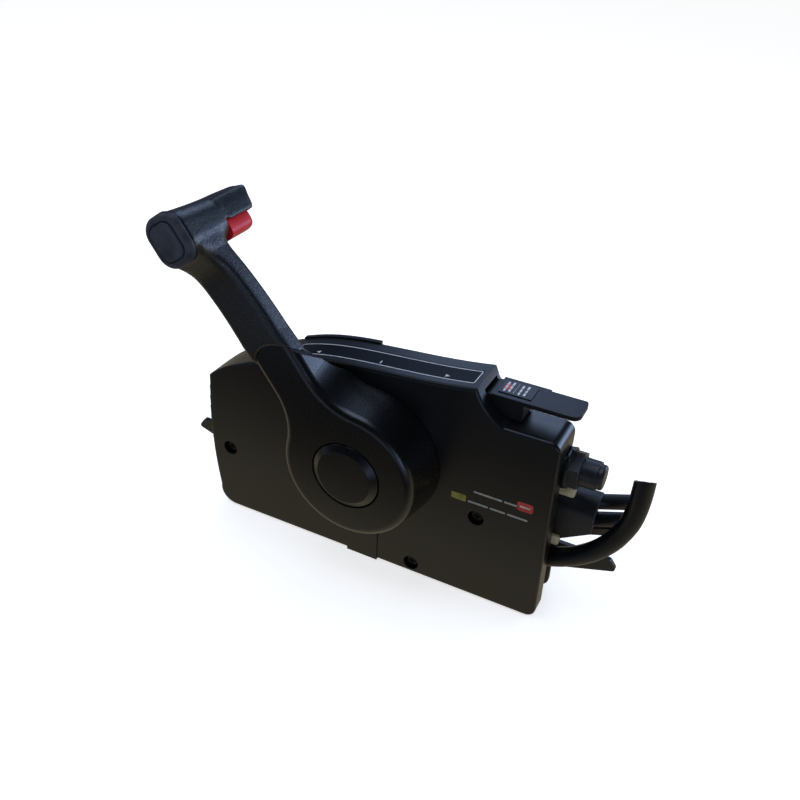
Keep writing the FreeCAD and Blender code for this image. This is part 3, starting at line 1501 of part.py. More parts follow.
def main():
    os.makedirs("parts", exist_ok=True)
    save("front_cover", front_cover())
    save("position_strip", position_strip())
    save("slot_tongue", slot_tongue())
    save("mounting_plate", mounting_plate())
    save("rear_case", rear_case())
    save("case_screws", case_screws())
    save("front_screws", front_screws())
    save("hub_cover", hub_cover())
    save("upper_arm", upper_arm())
    save("arm_screws", arm_screws())
    save("grip_cap", grip_cap())
    save("release_trigger", release_trigger())
    save("lock_rod", lock_rod())
    save("lock_ring", lock_ring())
    save("throttle_button", throttle_button())
    save("button_spring", button_spring())
    save("main_shaft", main_shaft())
    save("front_bushing", front_bushing())
    save("rear_bushing", rear_bushing())
    save("detent_disc", detent_disc())
    save("detent_roller", detent_roller())
    save("detent_spring", detent_spring())
    save("detent_bracket", detent_bracket())
    save("drive_gear", drive_gear())
    save("shift_gear", shift_gear())
    save("throttle_gear", throttle_gear())
    save("gear_pins", gear_pins())
    save("friction_shoe", friction_shoe())
    save("friction_screw", friction_screw())
    save("fast_idle_lever", fast_idle_lever())
    save("fast_idle_plate", fast_idle_plate())
    save("fast_idle_pin", fast_idle_pin())
    save("stop_switch_body", stop_switch_body())
    save("stop_switch_button", stop_switch_button())
    save("stop_switch_nut", stop_switch_nut())
    save("stop_switch_ring", stop_switch_ring())
    save("switch_bracket", switch_bracket())
    save("cable_block", cable_block())
    save("shift_cable_sleeve", cable_sleeve(upper_sleeve_z))
    save("throttle_cable_sleeve", cable_sleeve(lower_sleeve_z))
    save("terminal_bracket", terminal_bracket())
    save("nylon_nuts", nylon_nuts())
    save("nut_studs", nut_studs())
    save("harness_grommet", harness_grommet())
    save("harness_lead", harness_lead())


main()
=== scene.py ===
import bmesh
import bpy
import numpy as np
from mathutils import Matrix, Vector


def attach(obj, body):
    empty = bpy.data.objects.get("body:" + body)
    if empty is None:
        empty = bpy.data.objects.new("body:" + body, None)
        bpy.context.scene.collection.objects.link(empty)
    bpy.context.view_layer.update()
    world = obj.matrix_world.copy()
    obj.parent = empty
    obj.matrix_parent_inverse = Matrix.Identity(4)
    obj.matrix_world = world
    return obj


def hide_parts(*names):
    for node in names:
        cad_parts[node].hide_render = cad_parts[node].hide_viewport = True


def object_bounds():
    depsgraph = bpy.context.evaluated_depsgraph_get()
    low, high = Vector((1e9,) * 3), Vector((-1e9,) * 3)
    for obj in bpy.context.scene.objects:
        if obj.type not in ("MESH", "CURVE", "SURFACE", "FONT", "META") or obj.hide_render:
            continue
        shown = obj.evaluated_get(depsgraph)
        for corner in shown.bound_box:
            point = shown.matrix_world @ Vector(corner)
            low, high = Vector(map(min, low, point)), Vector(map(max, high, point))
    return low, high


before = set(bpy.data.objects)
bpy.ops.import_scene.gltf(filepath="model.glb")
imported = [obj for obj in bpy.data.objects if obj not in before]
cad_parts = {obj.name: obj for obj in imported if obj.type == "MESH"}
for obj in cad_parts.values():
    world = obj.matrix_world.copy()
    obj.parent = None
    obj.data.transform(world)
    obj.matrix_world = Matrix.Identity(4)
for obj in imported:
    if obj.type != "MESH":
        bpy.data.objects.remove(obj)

cadBox = [list(corner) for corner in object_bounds()]
mm = 0.001     # in metres, for every measure below


# Camera, at the angle from which the control box was seen

camera = dict(
    place=(203.7, -417.0, 321.7),      # mm
    right=(0.8902, 0.4530, 0.0368),
    up=(-0.2758, 0.4740, 0.8363),
    lens=40.5, sensor=36.0,            # mm
    near=0.02, far=40.0,               # m
)
lensData = bpy.data.cameras.new("viewCamera")
lensData.lens, lensData.sensor_width = camera["lens"], camera["sensor"]
lensData.clip_start, lensData.clip_end = camera["near"], camera["far"]
viewCamera = bpy.data.objects.new("viewCamera", lensData)
bpy.context.scene.collection.objects.link(viewCamera)
right, up = Vector(camera["right"]).normalized(), Vector(camera["up"]).normalized()
back = right.cross(up).normalized()
turned = Matrix((right, back.cross(right), back)).transposed().to_4x4()
viewCamera.matrix_world = Matrix.Translation(Vector(camera["place"]) * mm) @ turned
bpy.context.scene.camera = viewCamera
bpy.context.scene.view_settings.view_transform = "Standard"
print("camera placed")


# Colours and nodes

def toLinear(hexColour):
    # sRGB to linear light: a straight foot, then a power of 2.4
    value = np.array([int(hexColour[i:i + 2], 16) for i in (1, 3, 5)]) / 255
    linear = np.where(value <= 0.04045, value / 12.92, ((value + 0.055) / 1.055) ** 2.4)
    return (*[float(part) for part in linear], 1.0)


def addNode(tree, kind, values=None, links=None, **settings):
    # settings are the node's own, values set its sockets, and links join sockets to sources
    node = tree.nodes.new(kind)
    for name, value in settings.items():
        setattr(node, name, value)
    for socket, value in (values or {}).items():
        node.inputs[socket].default_value = value
    for socket, source in (links or {}).items():
        tree.links.new(source, node.inputs[socket])
    return node


def mixColours(tree, factor, first, second):
    # first * (1 - factor) + second * factor, where first is a fixed colour or a socket. A mix node
    # for colours has them in sockets 6 and 7, and its result in output 2.
    values, links = {7: second}, {0: factor}
    if isinstance(first, tuple):
        values[6] = first
    else:
        links[6] = first
    return addNode(tree, "ShaderNodeMix", values, links, data_type="RGBA").outputs[2]


def solidFinish(name, finish):
    # Every hard finish has a slow mottle of two tones, a grain that is its relief and varies its
    # gloss, and lighter edges where the rounded normal leaves the flat one: partly wear, partly a
    # painted highlight laid along every edge alike.
    material = bpy.data.materials.new(name)
    material.use_nodes = True
    tree = material.node_tree
    tree.nodes.clear()
    place = addNode(tree, "ShaderNodeTexCoord").outputs["Object"]
    mottle = addNode(tree, "ShaderNodeTexNoise",
                     {"Scale": 1 / (finish["mottle"] * mm), "Detail": 3.0}, {"Vector": place})
    tone = addNode(tree, "ShaderNodeMapRange", {"From Min": 0.35, "From Max": 0.65},
                   {"Value": mottle.outputs["Fac"]})
    body = mixColours(tree, tone.outputs["Result"], toLinear(finish["dark"]),
                      toLinear(finish["light"]))
    stretched = addNode(tree, "ShaderNodeMapping", {"Scale": finish.get("stretch", (1, 1, 1))},
                        {"Vector": place})
    grain = addNode(tree, "ShaderNodeTexNoise",
                    {"Scale": 1 / (finish["grain"] * mm), "Detail": 2.0, "Roughness": 0.6},
                    {"Vector": stretched.outputs["Vector"]})
    rounded = addNode(tree, "ShaderNodeBevel", {"Radius": finish["edge"] * mm}, samples=4)
    flat = addNode(tree, "ShaderNodeNewGeometry")
    facing = addNode(tree, "ShaderNodeVectorMath", None,
                     {0: rounded.outputs["Normal"], 1: flat.outputs["Normal"]},
                     operation="DOT_PRODUCT")
    # edges lightened towards edgeTone: partly wear, partly a painted highlight
    wornAndSheenEdge = addNode(tree, "ShaderNodeMapRange",
                   {"From Min": 0.985, "From Max": 0.86, "To Max": finish["edgeWearAndSheen"]},
                   {"Value": facing.outputs["Value"]})
    colour = mixColours(tree, wornAndSheenEdge.outputs["Result"], body, toLinear(finish["edgeTone"]))
    rough = addNode(tree, "ShaderNodeMapRange",
                    {"From Min": 0.3, "From Max": 0.7, "To Min": finish["rough"][0],
                     "To Max": finish["rough"][1]}, {"Value": grain.outputs["Fac"]})
    relief = addNode(tree, "ShaderNodeBump", {"Strength": 1.0, "Distance": finish["depth"] * mm},
                     {"Height": grain.outputs["Fac"], "Normal": rounded.outputs["Normal"]})
    fixed = {"Metallic": finish.get("metallic", 0.0),
             "Specular IOR Level": finish.get("specular", 0.5)}
    if "ior" in finish:
        fixed["IOR"] = finish["ior"]
    shader = addNode(tree, "ShaderNodeBsdfPrincipled", fixed,
                     {"Base Color": colour, "Roughness": rough.outputs["Result"],
                      "Normal": relief.outputs["Normal"]})
    addNode(tree, "ShaderNodeOutputMaterial", None, {"Surface": shader.outputs["BSDF"]})
    return material


# Finishes, each from what the real one is. Sizes in mm.

# ABS, injection moulded against a lightly sparked tool: deep black, satin, hardly any grain
mouldedAbs = solidFinish("blackMouldedAbs", dict(
    dark="#060709", light="#0B0C0F", mottle=45, grain=0.7, depth=0.012, edge=0.45,
    rough=(0.30, 0.40), edgeWearAndSheen=0.35, edgeTone="#3A3E44", ior=1.53))
# the same ABS on the hub, which hands keep polished: smoother and a little darker
polishedAbs = solidFinish("blackHubAbs", dict(
    dark="#050607", light="#090A0C", mottle=38, grain=0.6, depth=0.008, edge=0.5,
    rough=(0.25, 0.34), edgeWearAndSheen=0.3, edgeTone="#34373C", specular=0.7, ior=1.53))
# ABS of the cable shroud, moulded in a coarser tool: grey-black, duller
shroudAbs = solidFinish("greyBlackMouldedAbs", dict(
    dark="#0E1216", light="#171C22", mottle=20, grain=0.9, depth=0.03, edge=0.8,
    rough=(0.38, 0.52), edgeWearAndSheen=0.8, edgeTone="#5C6670", ior=1.53))
# nylon filled with glass, moulded with an etched leather-like grain for grip; the real grain is
# 0.5 mm, drawn at 1.3 mm so that it shows
texturedNylon = solidFinish("blackTexturedNylon", dict(
    dark="#05080C", light="#0B0F14", mottle=30, grain=1.3, depth=0.16, edge=0.5,
    rough=(0.34, 0.5), edgeWearAndSheen=0.35, edgeTone="#3C4148", specular=0.8, ior=1.53))
# soft-touch vinyl cap on the grip's end: duller, with the same etched grain
capVinyl = solidFinish("greyGripVinyl", dict(
    dark="#20242C", light="#333945", mottle=9, grain=1.1, depth=0.12, edge=0.4,
    rough=(0.45, 0.62), edgeWearAndSheen=0.15, edgeTone="#474D58", ior=1.5))
# polycarbonate strip with a finely etched face, which takes print: duller than the cover round it
stripPolycarbonate = solidFinish("etchedBlackPolycarbonate", dict(
    dark="#0A0D12", light="#0F131A", mottle=30, grain=0.9, depth=0.01, edge=0.3,
    rough=(0.36, 0.46), edgeWearAndSheen=0.2, edgeTone="#3A3F47", specular=0.09, ior=1.58))
# glass-filled nylon of the warm-up lever, finely etched: duller than the cover
tabNylon = solidFinish("finelyEtchedNylon", dict(
    dark="#090B0F", light="#0E1116", mottle=25, grain=0.7, depth=0.02, edge=0.5,
    rough=(0.36, 0.46), edgeWearAndSheen=0.3, edgeTone="#3A3F46", specular=0.28, ior=1.53))
# red ABS trigger, moulded in colour and polished by fingers
redAbs = solidFinish("redMouldedAbs", dict(
    dark="#D01A26", light="#E02A36", mottle=18, grain=0.8, depth=0.012, edge=0.5,
    rough=(0.34, 0.44), edgeWearAndSheen=0.2, edgeTone="#E85058", specular=0.3, ior=1.53))
# steel plate, powder coated black: a fine orange peel of about 1 mm
powderCoat = solidFinish("blackPowderCoatedSteel", dict(
    dark="#090B0E", light="#0E1115", mottle=40, grain=1.1, depth=0.03, edge=0.3,
    rough=(0.34, 0.46), edgeWearAndSheen=0.4, edgeTone="#44474B", ior=1.5))
# zinc plated steel, brushed by stamping and turning
zincSteel = solidFinish("zincPlatedSteel", dict(
    dark="#A7A9A6", light="#BDBEB9", mottle=14, grain=0.5, depth=0.008, edge=0.25,
    rough=(0.26, 0.4), edgeWearAndSheen=0.5, edgeTone="#DADBD8", metallic=1.0, stretch=(0.15, 1, 1)))
# spring wire, oil tempered: darker and smoother than plated steel
springSteel = solidFinish("oilTemperedSpringSteel", dict(
    dark="#6B6C6D", light="#7C7D7D", mottle=8, grain=0.4, depth=0.004, edge=0.15,
    rough=(0.25, 0.35), edgeWearAndSheen=0.3, edgeTone="#A0A1A1", metallic=1.0))
# screws with a black oxide skin, oiled
blackOxide = solidFinish("blackOxideSteel", dict(
    dark="#26272A", light="#303236", mottle=6, grain=0.4, depth=0.01, edge=0.2,
    rough=(0.3, 0.42), edgeWearAndSheen=0.7, edgeTone="#6C6F74", metallic=1.0))
# bronze pressed and sintered from powder: open pores of about 0.3 mm
sinteredBronze = solidFinish("sinteredBronze", dict(
    dark="#8A6334", light="#A67B45", mottle=10, grain=0.35, depth=0.03, edge=0.2,
    rough=(0.45, 0.62), edgeWearAndSheen=0.5, edgeTone="#C79B5E", metallic=1.0))
# natural nylon, cream, moulded
creamNylon = solidFinish("creamNylon", dict(
    dark="#A69A78", light="#C2B795", mottle=5, grain=0.7, depth=0.02, edge=0.35,
    rough=(0.38, 0.5), edgeWearAndSheen=0.5, edgeTone="#DDD5BA", ior=1.53))
# phenolic moulding of the switch; its knurled and threaded parts have lighter edges, partly rubbed
# bright and partly a painted highlight
switchPhenolic = solidFinish("blackPhenolic", dict(
    dark="#121418", light="#1B1E24", mottle=9, grain=0.5, depth=0.02, edge=0.35,
    rough=(0.34, 0.5), edgeWearAndSheen=0.75, edgeTone="#6C747F", ior=1.6))
# the switch's push button, the same moulding, kept smooth by fingers
buttonPhenolic = solidFinish("smoothPhenolic", dict(
    dark="#14161A", light="#1E2127", mottle=6, grain=0.6, depth=0.015, edge=0.5,
    rough=(0.32, 0.44), edgeWearAndSheen=0.6, edgeTone="#6A717B", ior=1.6))
# rubber of the cable sleeves and grommet, moulded, faintly bloomed
mouldedRubber = solidFinish("blackMouldedRubber", dict(
    dark="#090C10", light="#10141A", mottle=12, grain=0.8, depth=0.02, edge=0.3,
    rough=(0.36, 0.5), edgeWearAndSheen=0.2, edgeTone="#30353D", ior=1.52))
# vinyl sleeving, extruded: smooth along, with faint die lines
vinylSleeving = solidFinish("blackVinylSleeving", dict(
    dark="#060A0E", light="#0A0F15", mottle=16, grain=0.7, depth=0.02, edge=0.25,
    rough=(0.28, 0.38), edgeWearAndSheen=0.15, edgeTone="#2A3038", specular=0.32, ior=1.54))
# printed film, near black under a gloss laminate
printedFilm = solidFinish("glossDarkFilm", dict(
    dark="#07090D", light="#0C0F14", mottle=9, grain=0.9, depth=0.004, edge=0.1,
    rough=(0.3, 0.38), edgeWearAndSheen=0.1, edgeTone="#2A2E36", specular=0.25, ior=1.5))


def ink(name, dark, light):
    # screen-printed ink: dense, slightly uneven in tone, satin
    return solidFinish(name, dict(dark=dark, light=light, mottle=4, grain=0.6, depth=0.006,
                                  edge=0.05, rough=(0.4, 0.5), edgeWearAndSheen=0.0, edgeTone=light, ior=1.5))


whiteInk = ink("whiteScreenInk", "#B9C0CA", "#D6DBE2")
greyInk = ink("greyScreenInk", "#777A76", "#8D908B")
dullInk = ink("dullScreenInk", "#A08C86", "#B39F98")
redInk = ink("redScreenInk", "#96241F", "#AE3029")
yellowInk = ink("yellowScreenInk", "#6E6A24", "#827D2E")

nodeFinish = {
    mouldedAbs: ["front_cover", "slot_tongue", "rear_case", "cable_block"],
    tabNylon: ["fast_idle_lever"],
    polishedAbs: ["hub_cover", "throttle_button"],
    texturedNylon: ["upper_arm"],
    capVinyl: ["grip_cap"],
    stripPolycarbonate: ["position_strip"],
    redAbs: ["release_trigger"],
    powderCoat: ["mounting_plate", "switch_bracket", "terminal_bracket"],
    zincSteel: ["lock_rod", "lock_ring", "main_shaft", "detent_disc", "detent_roller",
                "detent_bracket", "drive_gear", "shift_gear", "throttle_gear", "gear_pins",
                "friction_screw", "fast_idle_pin", "nut_studs"],
    springSteel: ["detent_spring", "button_spring"],
    blackOxide: ["case_screws", "front_screws", "arm_screws"],
    sinteredBronze: ["front_bushing", "rear_bushing"],
    creamNylon: ["nylon_nuts", "friction_shoe"],
    switchPhenolic: ["stop_switch_body", "stop_switch_nut", "stop_switch_ring"],
    buttonPhenolic: ["stop_switch_button"],
    mouldedRubber: ["shift_cable_sleeve", "throttle_cable_sleeve", "harness_grommet"],
    vinylSleeving: ["harness_lead"],
    printedFilm: ["fast_idle_plate"],
}
for material, names in nodeFinish.items():
    for name in names:
        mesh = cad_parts[name].data
        if not mesh.materials:
            mesh.materials.append(material)
        for number in range(len(mesh.materials)):
            mesh.materials[number] = material
finished = sum(len(names) for names in nodeFinish.values())
print("finishes on", finished, "of", len(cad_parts), "parts")


# Mesh helpers

def gridFaces(rows, columns, ringed):
    # quads between neighbouring rows and columns; ringed joins the last column to the first
    across = columns if ringed else columns - 1
    row, column = np.meshgrid(np.arange(rows - 1), np.arange(across), indexing="ij")
    after = (column + 1) % columns
    quads = np.stack([row * columns + column, row * columns + after,
                      (row + 1) * columns + after, (row + 1) * columns + column], -1)
    return quads.reshape(-1, 4)


def withEnds(rings):
    # quads along the rings, and a flat face on the first and the last
    rows, columns = rings.shape[:2]
    faces = gridFaces(rows, columns, True).tolist()
    return rings, faces + [np.arange(columns)[::-1].tolist(),
                           np.arange((rows - 1) * columns, rows * columns).tolist()]


sharpFrom = 38     # degrees between two faces, from which their edge stays sharp


def newPiece(name, parts, material, body, smooth=True):
    # parts is a list of (points, faces); they become one mesh with its normals outward
    points, faces, start = [], [], 0
    for partPoints, partFaces in parts:
        points.append(partPoints.reshape(-1, 3))
        faces += [(np.asarray(face) + start).tolist() for face in partFaces]
        start += len(points[-1])
    mesh = bpy.data.meshes.new(name)
    mesh.from_pydata((np.concatenate(points) * mm).tolist(), [], faces)
    shell = bmesh.new()
    shell.from_mesh(mesh)
    bmesh.ops.remove_doubles(shell, verts=shell.verts, dist=1e-7)
    bmesh.ops.recalc_face_normals(shell, faces=shell.faces)
    shell.to_mesh(mesh)
    shell.free()
    mesh.materials.append(material)
    piece = bpy.data.objects.new(name, mesh)
    bpy.context.scene.collection.objects.link(piece)
    if smooth:
        mesh.shade_smooth()
        mesh.set_sharp_from_angle(angle=np.radians(sharpFrom))
    else:
        mesh.shade_flat()
    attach(piece, body)
    return piece


def topSkin(node, lowest=0.7):
    # the x and height of a part's upward faces, in mm and in order of x; a face is upward where its
    # normal's height is more than lowest
    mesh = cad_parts[node].data
    place = np.empty(len(mesh.vertices) * 3)
    mesh.vertices.foreach_get("co", place)
    normal = np.empty(len(mesh.polygons) * 3)
    mesh.polygons.foreach_get("normal", normal)
    corner = np.empty(len(mesh.loops), int)
    mesh.loops.foreach_get("vertex_index", corner)
    upward = corner.reshape(-1, 3)[normal.reshape(-1, 3)[:, 2] > lowest].ravel()
    x, z = place.reshape(-1, 3)[upward][:, [0, 2]].T / mm
    order = np.argsort(x)
    return x[order], z[order]


def roundedOutline(centre, width, height, radius, steps=4):
    # four quarter circles of one radius about the corners of the inner rectangle
    turn = np.radians(np.concatenate([np.linspace(q, q + 90, steps) for q in (0, 90, 180, 270)]))
    side = np.repeat([[1, 1], [-1, 1], [-1, -1], [1, -1]], steps, 0)
    inner = np.array([width / 2 - radius, height / 2 - radius])
    return np.array(centre) + side * inner + radius * np.stack([np.cos(turn), np.sin(turn)], 1)


def printedSlab(outline, lay, thickness=0.12, sunk=0.08):
    # a closed outline in two measures, laid on a surface and given the ink's thickness
    count = len(outline)
    points = np.stack([lay(outline, -sunk), lay(outline, thickness)])
    faces = gridFaces(2, count, True).tolist()
    return points, faces + [np.arange(count)[::-1].tolist(), (np.arange(count) + count).tolist()]


# Upper arm and grip: one moulding, whose arm flows into its grip with no crease

armBlend = dict(
    voxel=0.8, evenTurns=6, softTurns=90, lean=-35.5,     # mm, passes, degrees
    leastShare=0.04, broader=0.065,                       # shares; all that follow are mm
    joint=147.5, reach=10.0, face=32.0, capSeam=41.0, seamFade=5.0, pocket=15.0, pocketFade=8.0,
    leftward=2.35, lift=1.2, longer=2.5, shorter=2.6, fuller=1.3, skirt=1.8, deeper=3.6,
    # where each change fades in: Up is up the arm, Ahead is ahead of its face, Side is across it
    armUp=(68, 92), armEndUp=(156, 146), endAhead=(12, -6), endUp=(142, 150), fullSide=(0, 12),
    skirtAhead=(14.4, 12), skirtUp=(155.5, 157), skirtTopUp=(161.5, 158.5),
    liftUp=(161.2, 176.2), liftAhead=(18, -6), cornerUp=(167, 156), backAhead=(2, -8),
    pocketUp=(159.6, 161), pocketTopUp=(170, 165), pocketSide=(12.2, 11), pocketAhead=(17, 15.2),
)


def ramp(value, name):
    # 0 before the span's first place, 1 past its second, straight between them
    start, end = armBlend[name]
    return np.clip((value - start) / (end - start), 0, 1)


def smoothed(points, edges, share, turns):
    # each pass adds half of share * (the mean of a point's neighbours - the point)
    first, second = edges.T
    near = np.bincount(np.concatenate([first, second]), minlength=len(points))[:, None]
    for repeat in range(turns):
        total = np.stack([np.bincount(first, points[second, axis], len(points))
                          + np.bincount(second, points[first, axis], len(points))
                          for axis in range(3)], 1)
        points = points + 0.5 * share[:, None] * (total / np.maximum(near, 1) - points)
    return points


blank = bpy.data.objects.new("armBlank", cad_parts["upper_arm"].data.copy())
bpy.context.scene.collection.objects.link(blank)
merged = bmesh.new()
merged.from_mesh(blank.data)
bmesh.ops.remove_doubles(merged, verts=merged.verts, dist=1e-5)
merged.to_mesh(blank.data)
merged.free()
remesh = blank.modifiers.new("even", "REMESH")
remesh.mode, remesh.voxel_size = "VOXEL", armBlend["voxel"] * mm
bpy.context.view_layer.update()
armMesh = bpy.data.meshes.new_from_object(blank.evaluated_get(bpy.context.evaluated_depsgraph_get()))
bpy.data.objects.remove(blank)
points = np.empty(len(armMesh.vertices) * 3)
armMesh.vertices.foreach_get("co", points)
points = points.reshape(-1, 3) / mm
edges = np.empty(len(armMesh.edges) * 2, int)
armMesh.edges.foreach_get("vertices", edges)
edges = edges.reshape(-1, 2)
lean = np.radians(armBlend["lean"])
upArm = points[:, 0] * np.sin(lean) + points[:, 2] * np.cos(lean)
forward = -armBlend["face"] - points[:, 1]
atJoint = np.exp(-((upArm - armBlend["joint"]) / armBlend["reach"]) ** 2)
atJoint *= np.clip((armBlend["capSeam"] - forward) / armBlend["seamFade"], 0, 1)
atJoint *= np.clip((forward - armBlend["pocket"]) / armBlend["pocketFade"], armBlend["leastShare"], 1)
points = smoothed(points, edges, np.ones(len(points)), armBlend["evenTurns"])
points = smoothed(points, edges, atJoint, armBlend["softTurns"])
# in the lever's own measures: the arm moves left by leftward - broader * side, and the barrel's back
# end grows longer, higher and fuller to the right, with a lower edge that covers the trigger's top
side = points[:, 0] * np.cos(lean) - points[:, 2] * np.sin(lean)
upArm = points[:, 0] * np.sin(lean) + points[:, 2] * np.cos(lean)
forward = -armBlend["face"] - points[:, 1]
alongArm = ramp(upArm, "armUp") * ramp(upArm, "armEndUp")
backEnd = ramp(forward, "endAhead") * ramp(upArm, "endUp")
skirt = ramp(forward, "skirtAhead") * ramp(upArm, "skirtTopUp") * ramp(upArm, "skirtUp")
sideways = (armBlend["broader"] * side - armBlend["leftward"]) * alongArm
sideways += armBlend["fuller"] * backEnd * ramp(side, "fullSide")
upwards = armBlend["lift"] * ramp(upArm, "liftUp") * ramp(forward, "liftAhead")
upwards -= armBlend["skirt"] * skirt
# the trigger's pocket goes deeper into the barrel, to leave room for its travel
ceiling = ramp(upArm, "pocketUp") * ramp(upArm, "pocketTopUp") * ramp(np.abs(side), "pocketSide")
upwards += armBlend["deeper"] * ceiling * ramp(forward, "pocketAhead")
# the back end is round: its lowest corner stays further forward than its middle
corner = ramp(upArm, "cornerUp") ** 2
backwards = armBlend["longer"] * (1 - corner) - armBlend["shorter"] * corner
backwards = backwards * ramp(forward, "backAhead") * (backEnd > 0)
points += np.stack([sideways * np.cos(lean) + upwards * np.sin(lean), backwards,
                    upwards * np.cos(lean) - sideways * np.sin(lean)], 1)
armMesh.vertices.foreach_set("co", (points * mm).ravel())
armMesh.materials.clear()
armMesh.materials.append(texturedNylon)
armMesh.shade_smooth()
softArm = bpy.data.objects.new("softArm", armMesh)
bpy.context.scene.collection.objects.link(softArm)
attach(softArm, "lever")
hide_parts("upper_arm")
print("arm softened")


# Release trigger: one rounded bar under the grip's barrel

triggerBar = dict(half=9.4, low=146.6, high=159.8, stations=(13.2, 6.0, 0.0), back=-8.0,     # mm
                  power=3.4, nose=4.0, steps=56, noseSteps=9)


def onLever(side, upwards, ahead):
    # side, up the arm and ahead of the cover's face, turned to the lever's lean at rest
    return np.stack([side * np.cos(lean) + upwards * np.sin(lean),
                     -armBlend["face"] - ahead + 0 * side,
                     upwards * np.cos(lean) - side * np.sin(lean)], -1)


# superellipse sections: cos and sin each raised to 2 / power, drawn in over the rounded back end
# by nose * (1 - sqrt(1 - t^2)), t being the way through that end
turn = np.linspace(0, 2 * np.pi, triggerBar["steps"], endpoint=False)[None, :]
wide, tall = (np.sign(wave) * np.abs(wave) ** (2 / triggerBar["power"])
              for wave in (np.cos(turn), np.sin(turn)))
through = np.sin(np.linspace(0, np.pi / 2, triggerBar["noseSteps"]))
ahead = np.concatenate([triggerBar["stations"],
                        triggerBar["back"] + triggerBar["nose"] * (1 - through)])[:, None]
inset = np.concatenate([np.zeros(len(triggerBar["stations"])),
                        triggerBar["nose"] * (1 - np.sqrt(1 - through ** 2))])[:, None]
halfHigh = (triggerBar["high"] - triggerBar["low"]) / 2
rings = onLever(wide * (triggerBar["half"] - inset),
                (triggerBar["high"] + triggerBar["low"]) / 2 + tall * (halfHigh - inset), ahead)
fingerBar = newPiece("fingerBar", [withEnds(rings)], redAbs, "trigger")
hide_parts("release_trigger")
print("trigger shaped")


# Harness: a vinyl sleeve over a bundle of wires, cut open at its end

harness = dict(
    depth=-13.7, outer=6.0, bore=4.7, mouth=14.0, length=106.9,           # mm
    route=[(100, -52.3), (112, -49.5), (128, -42.5), (142, -31), (152.5, -15), (158.5, 4.5),
           (158.5, 24.5)],
    wires=[(0.0, 0.0), (2.9, 20.0), (2.9, 92.0), (2.9, 164.0), (2.9, 236.0),
           (2.9, 308.0)],                                                 # mm, degrees
    wire=1.3, bundle=15.0, setBack=9.5, slant=-0.66, across=0.25, rise=0.8, slantReach=12.0,
    stations=90, steps=40, wireSteps=14,
    waves=((0.006, 7.0, 0.0), (0.004, 3.1, 1.0)),                         # share, mm, start
    ragged=((0.3, 2, 0.6), (0.15, 5, 0.0)),                               # mm, waves, start
    lip=((0.99, 0.1), (0.93, 0.35), (0.85, 0.3)),                         # share of radius, mm
)
routeCurve = bpy.data.curves.new("harnessRoute", "CURVE")
routeCurve.dimensions = "3D"
routeLine = routeCurve.splines.new("NURBS")
routeLine.points.add(len(harness["route"]) - 1)
for point, (x, z) in zip(routeLine.points, harness["route"]):
    point.co = (x * mm, harness["depth"] * mm, z * mm, 1.0)
routeLine.order_u = 3
routeLine.use_endpoint_u = True
routeLine.resolution_u = 16
routeObject = bpy.data.objects.new("harnessRoute", routeCurve)
bpy.context.scene.collection.objects.link(routeObject)
routeMesh = bpy.data.meshes.new_from_object(routeObject)
path = np.empty(len(routeMesh.vertices) * 3)
routeMesh.vertices.foreach_get("co", path)
path = path.reshape(-1, 3) / mm
bpy.data.objects.remove(routeObject)
bpy.data.meshes.remove(routeMesh)


def tubeRings(line, radius, steps, offset=(0.0, 0.0)):
    # circles across the line: centre + radius * (cos a * side + sin a * depth), where side lies
    # in the route's plane, square to its run, and depth is the way into the boat's panel
    run = np.gradient(line, axis=0)
    run /= np.linalg.norm(run, axis=1)[:, None]
    deep = np.array([0.0, 1.0, 0.0])
    side = np.cross(run, deep)
    angle = np.linspace(0, 2 * np.pi, steps, endpoint=False)
    reach = np.broadcast_to(radius, len(line))[:, None, None]
    centre = line + offset[0] * side + offset[1] * deep
    across = np.cos(angle)[None, :, None] * side[:, None, :] + np.sin(angle)[None, :, None] * deep
    return centre[:, None, :] + reach * across


walked = np.concatenate([[0], np.cumsum(np.linalg.norm(np.diff(path, axis=0), axis=1))])
station = np.linspace(0, walked[-1], harness["stations"])
path = np.stack([np.interp(station, walked, path[:, axis]) for axis in range(3)], 1)


def slanted(rings, share):
    # the end is cut at a slant: each point slides along the run by
    # share * (slant * depth + across * x * share + rise), its share fading in towards the end
    deeper = rings[..., 1:2] - harness["depth"]
    aside = rings[..., 0:1] - path[-1, 0]
    share = share[:, None, None]
    slide = harness["slant"] * deeper + harness["across"] * aside * share + harness["rise"]
    return rings + share * slide * run


wave = np.ones(len(station))
for size, length, start in harness["waves"]:
    wave += size * np.sin(station / length + start)
run = path[-1] - path[-2]
run /= np.linalg.norm(run)
nearEnd = np.clip(1 - (walked[-1] - station) / harness["slantReach"], 0, 1)
outside = tubeRings(path, harness["outer"] * wave, harness["steps"])
rim = outside[-1] - path[-1]
outside = slanted(outside, nearEnd)
mouth = station > walked[-1] - harness["mouth"]
inside = slanted(tubeRings(path, harness["bore"], harness["steps"]), nearEnd)[mouth][::-1]
# the cut edge: rings between the outside and the bore, raised and a little ragged
angle = np.linspace(0, 2 * np.pi, harness["steps"], endpoint=False)
ragged = sum(size * np.sin(count * angle + start) for size, count, start in harness["ragged"])
cut = np.stack([path[-1] + rim * share + (rise + ragged[:, None]) * run
                for share, rise in harness["lip"]])
cut = slanted(cut, np.ones(len(cut)))
harnessSleeve = newPiece("harnessSleeve", [withEnds(np.concatenate([outside, cut, inside]))],
                         vinylSleeving, "housing")
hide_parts("harness_lead")
held = (station > walked[-1] - harness["bundle"]) & (station < walked[-1] - harness["setBack"])
wires = [withEnds(tubeRings(path, harness["wire"], harness["wireSteps"],
                            (distance * np.cos(np.radians(degrees)),
                             distance * np.sin(np.radians(degrees))))[held])
         for distance, degrees in harness["wires"]]
harnessWires = newPiece("harnessWires", wires, mouldedRubber, "housing")
print("harness made")


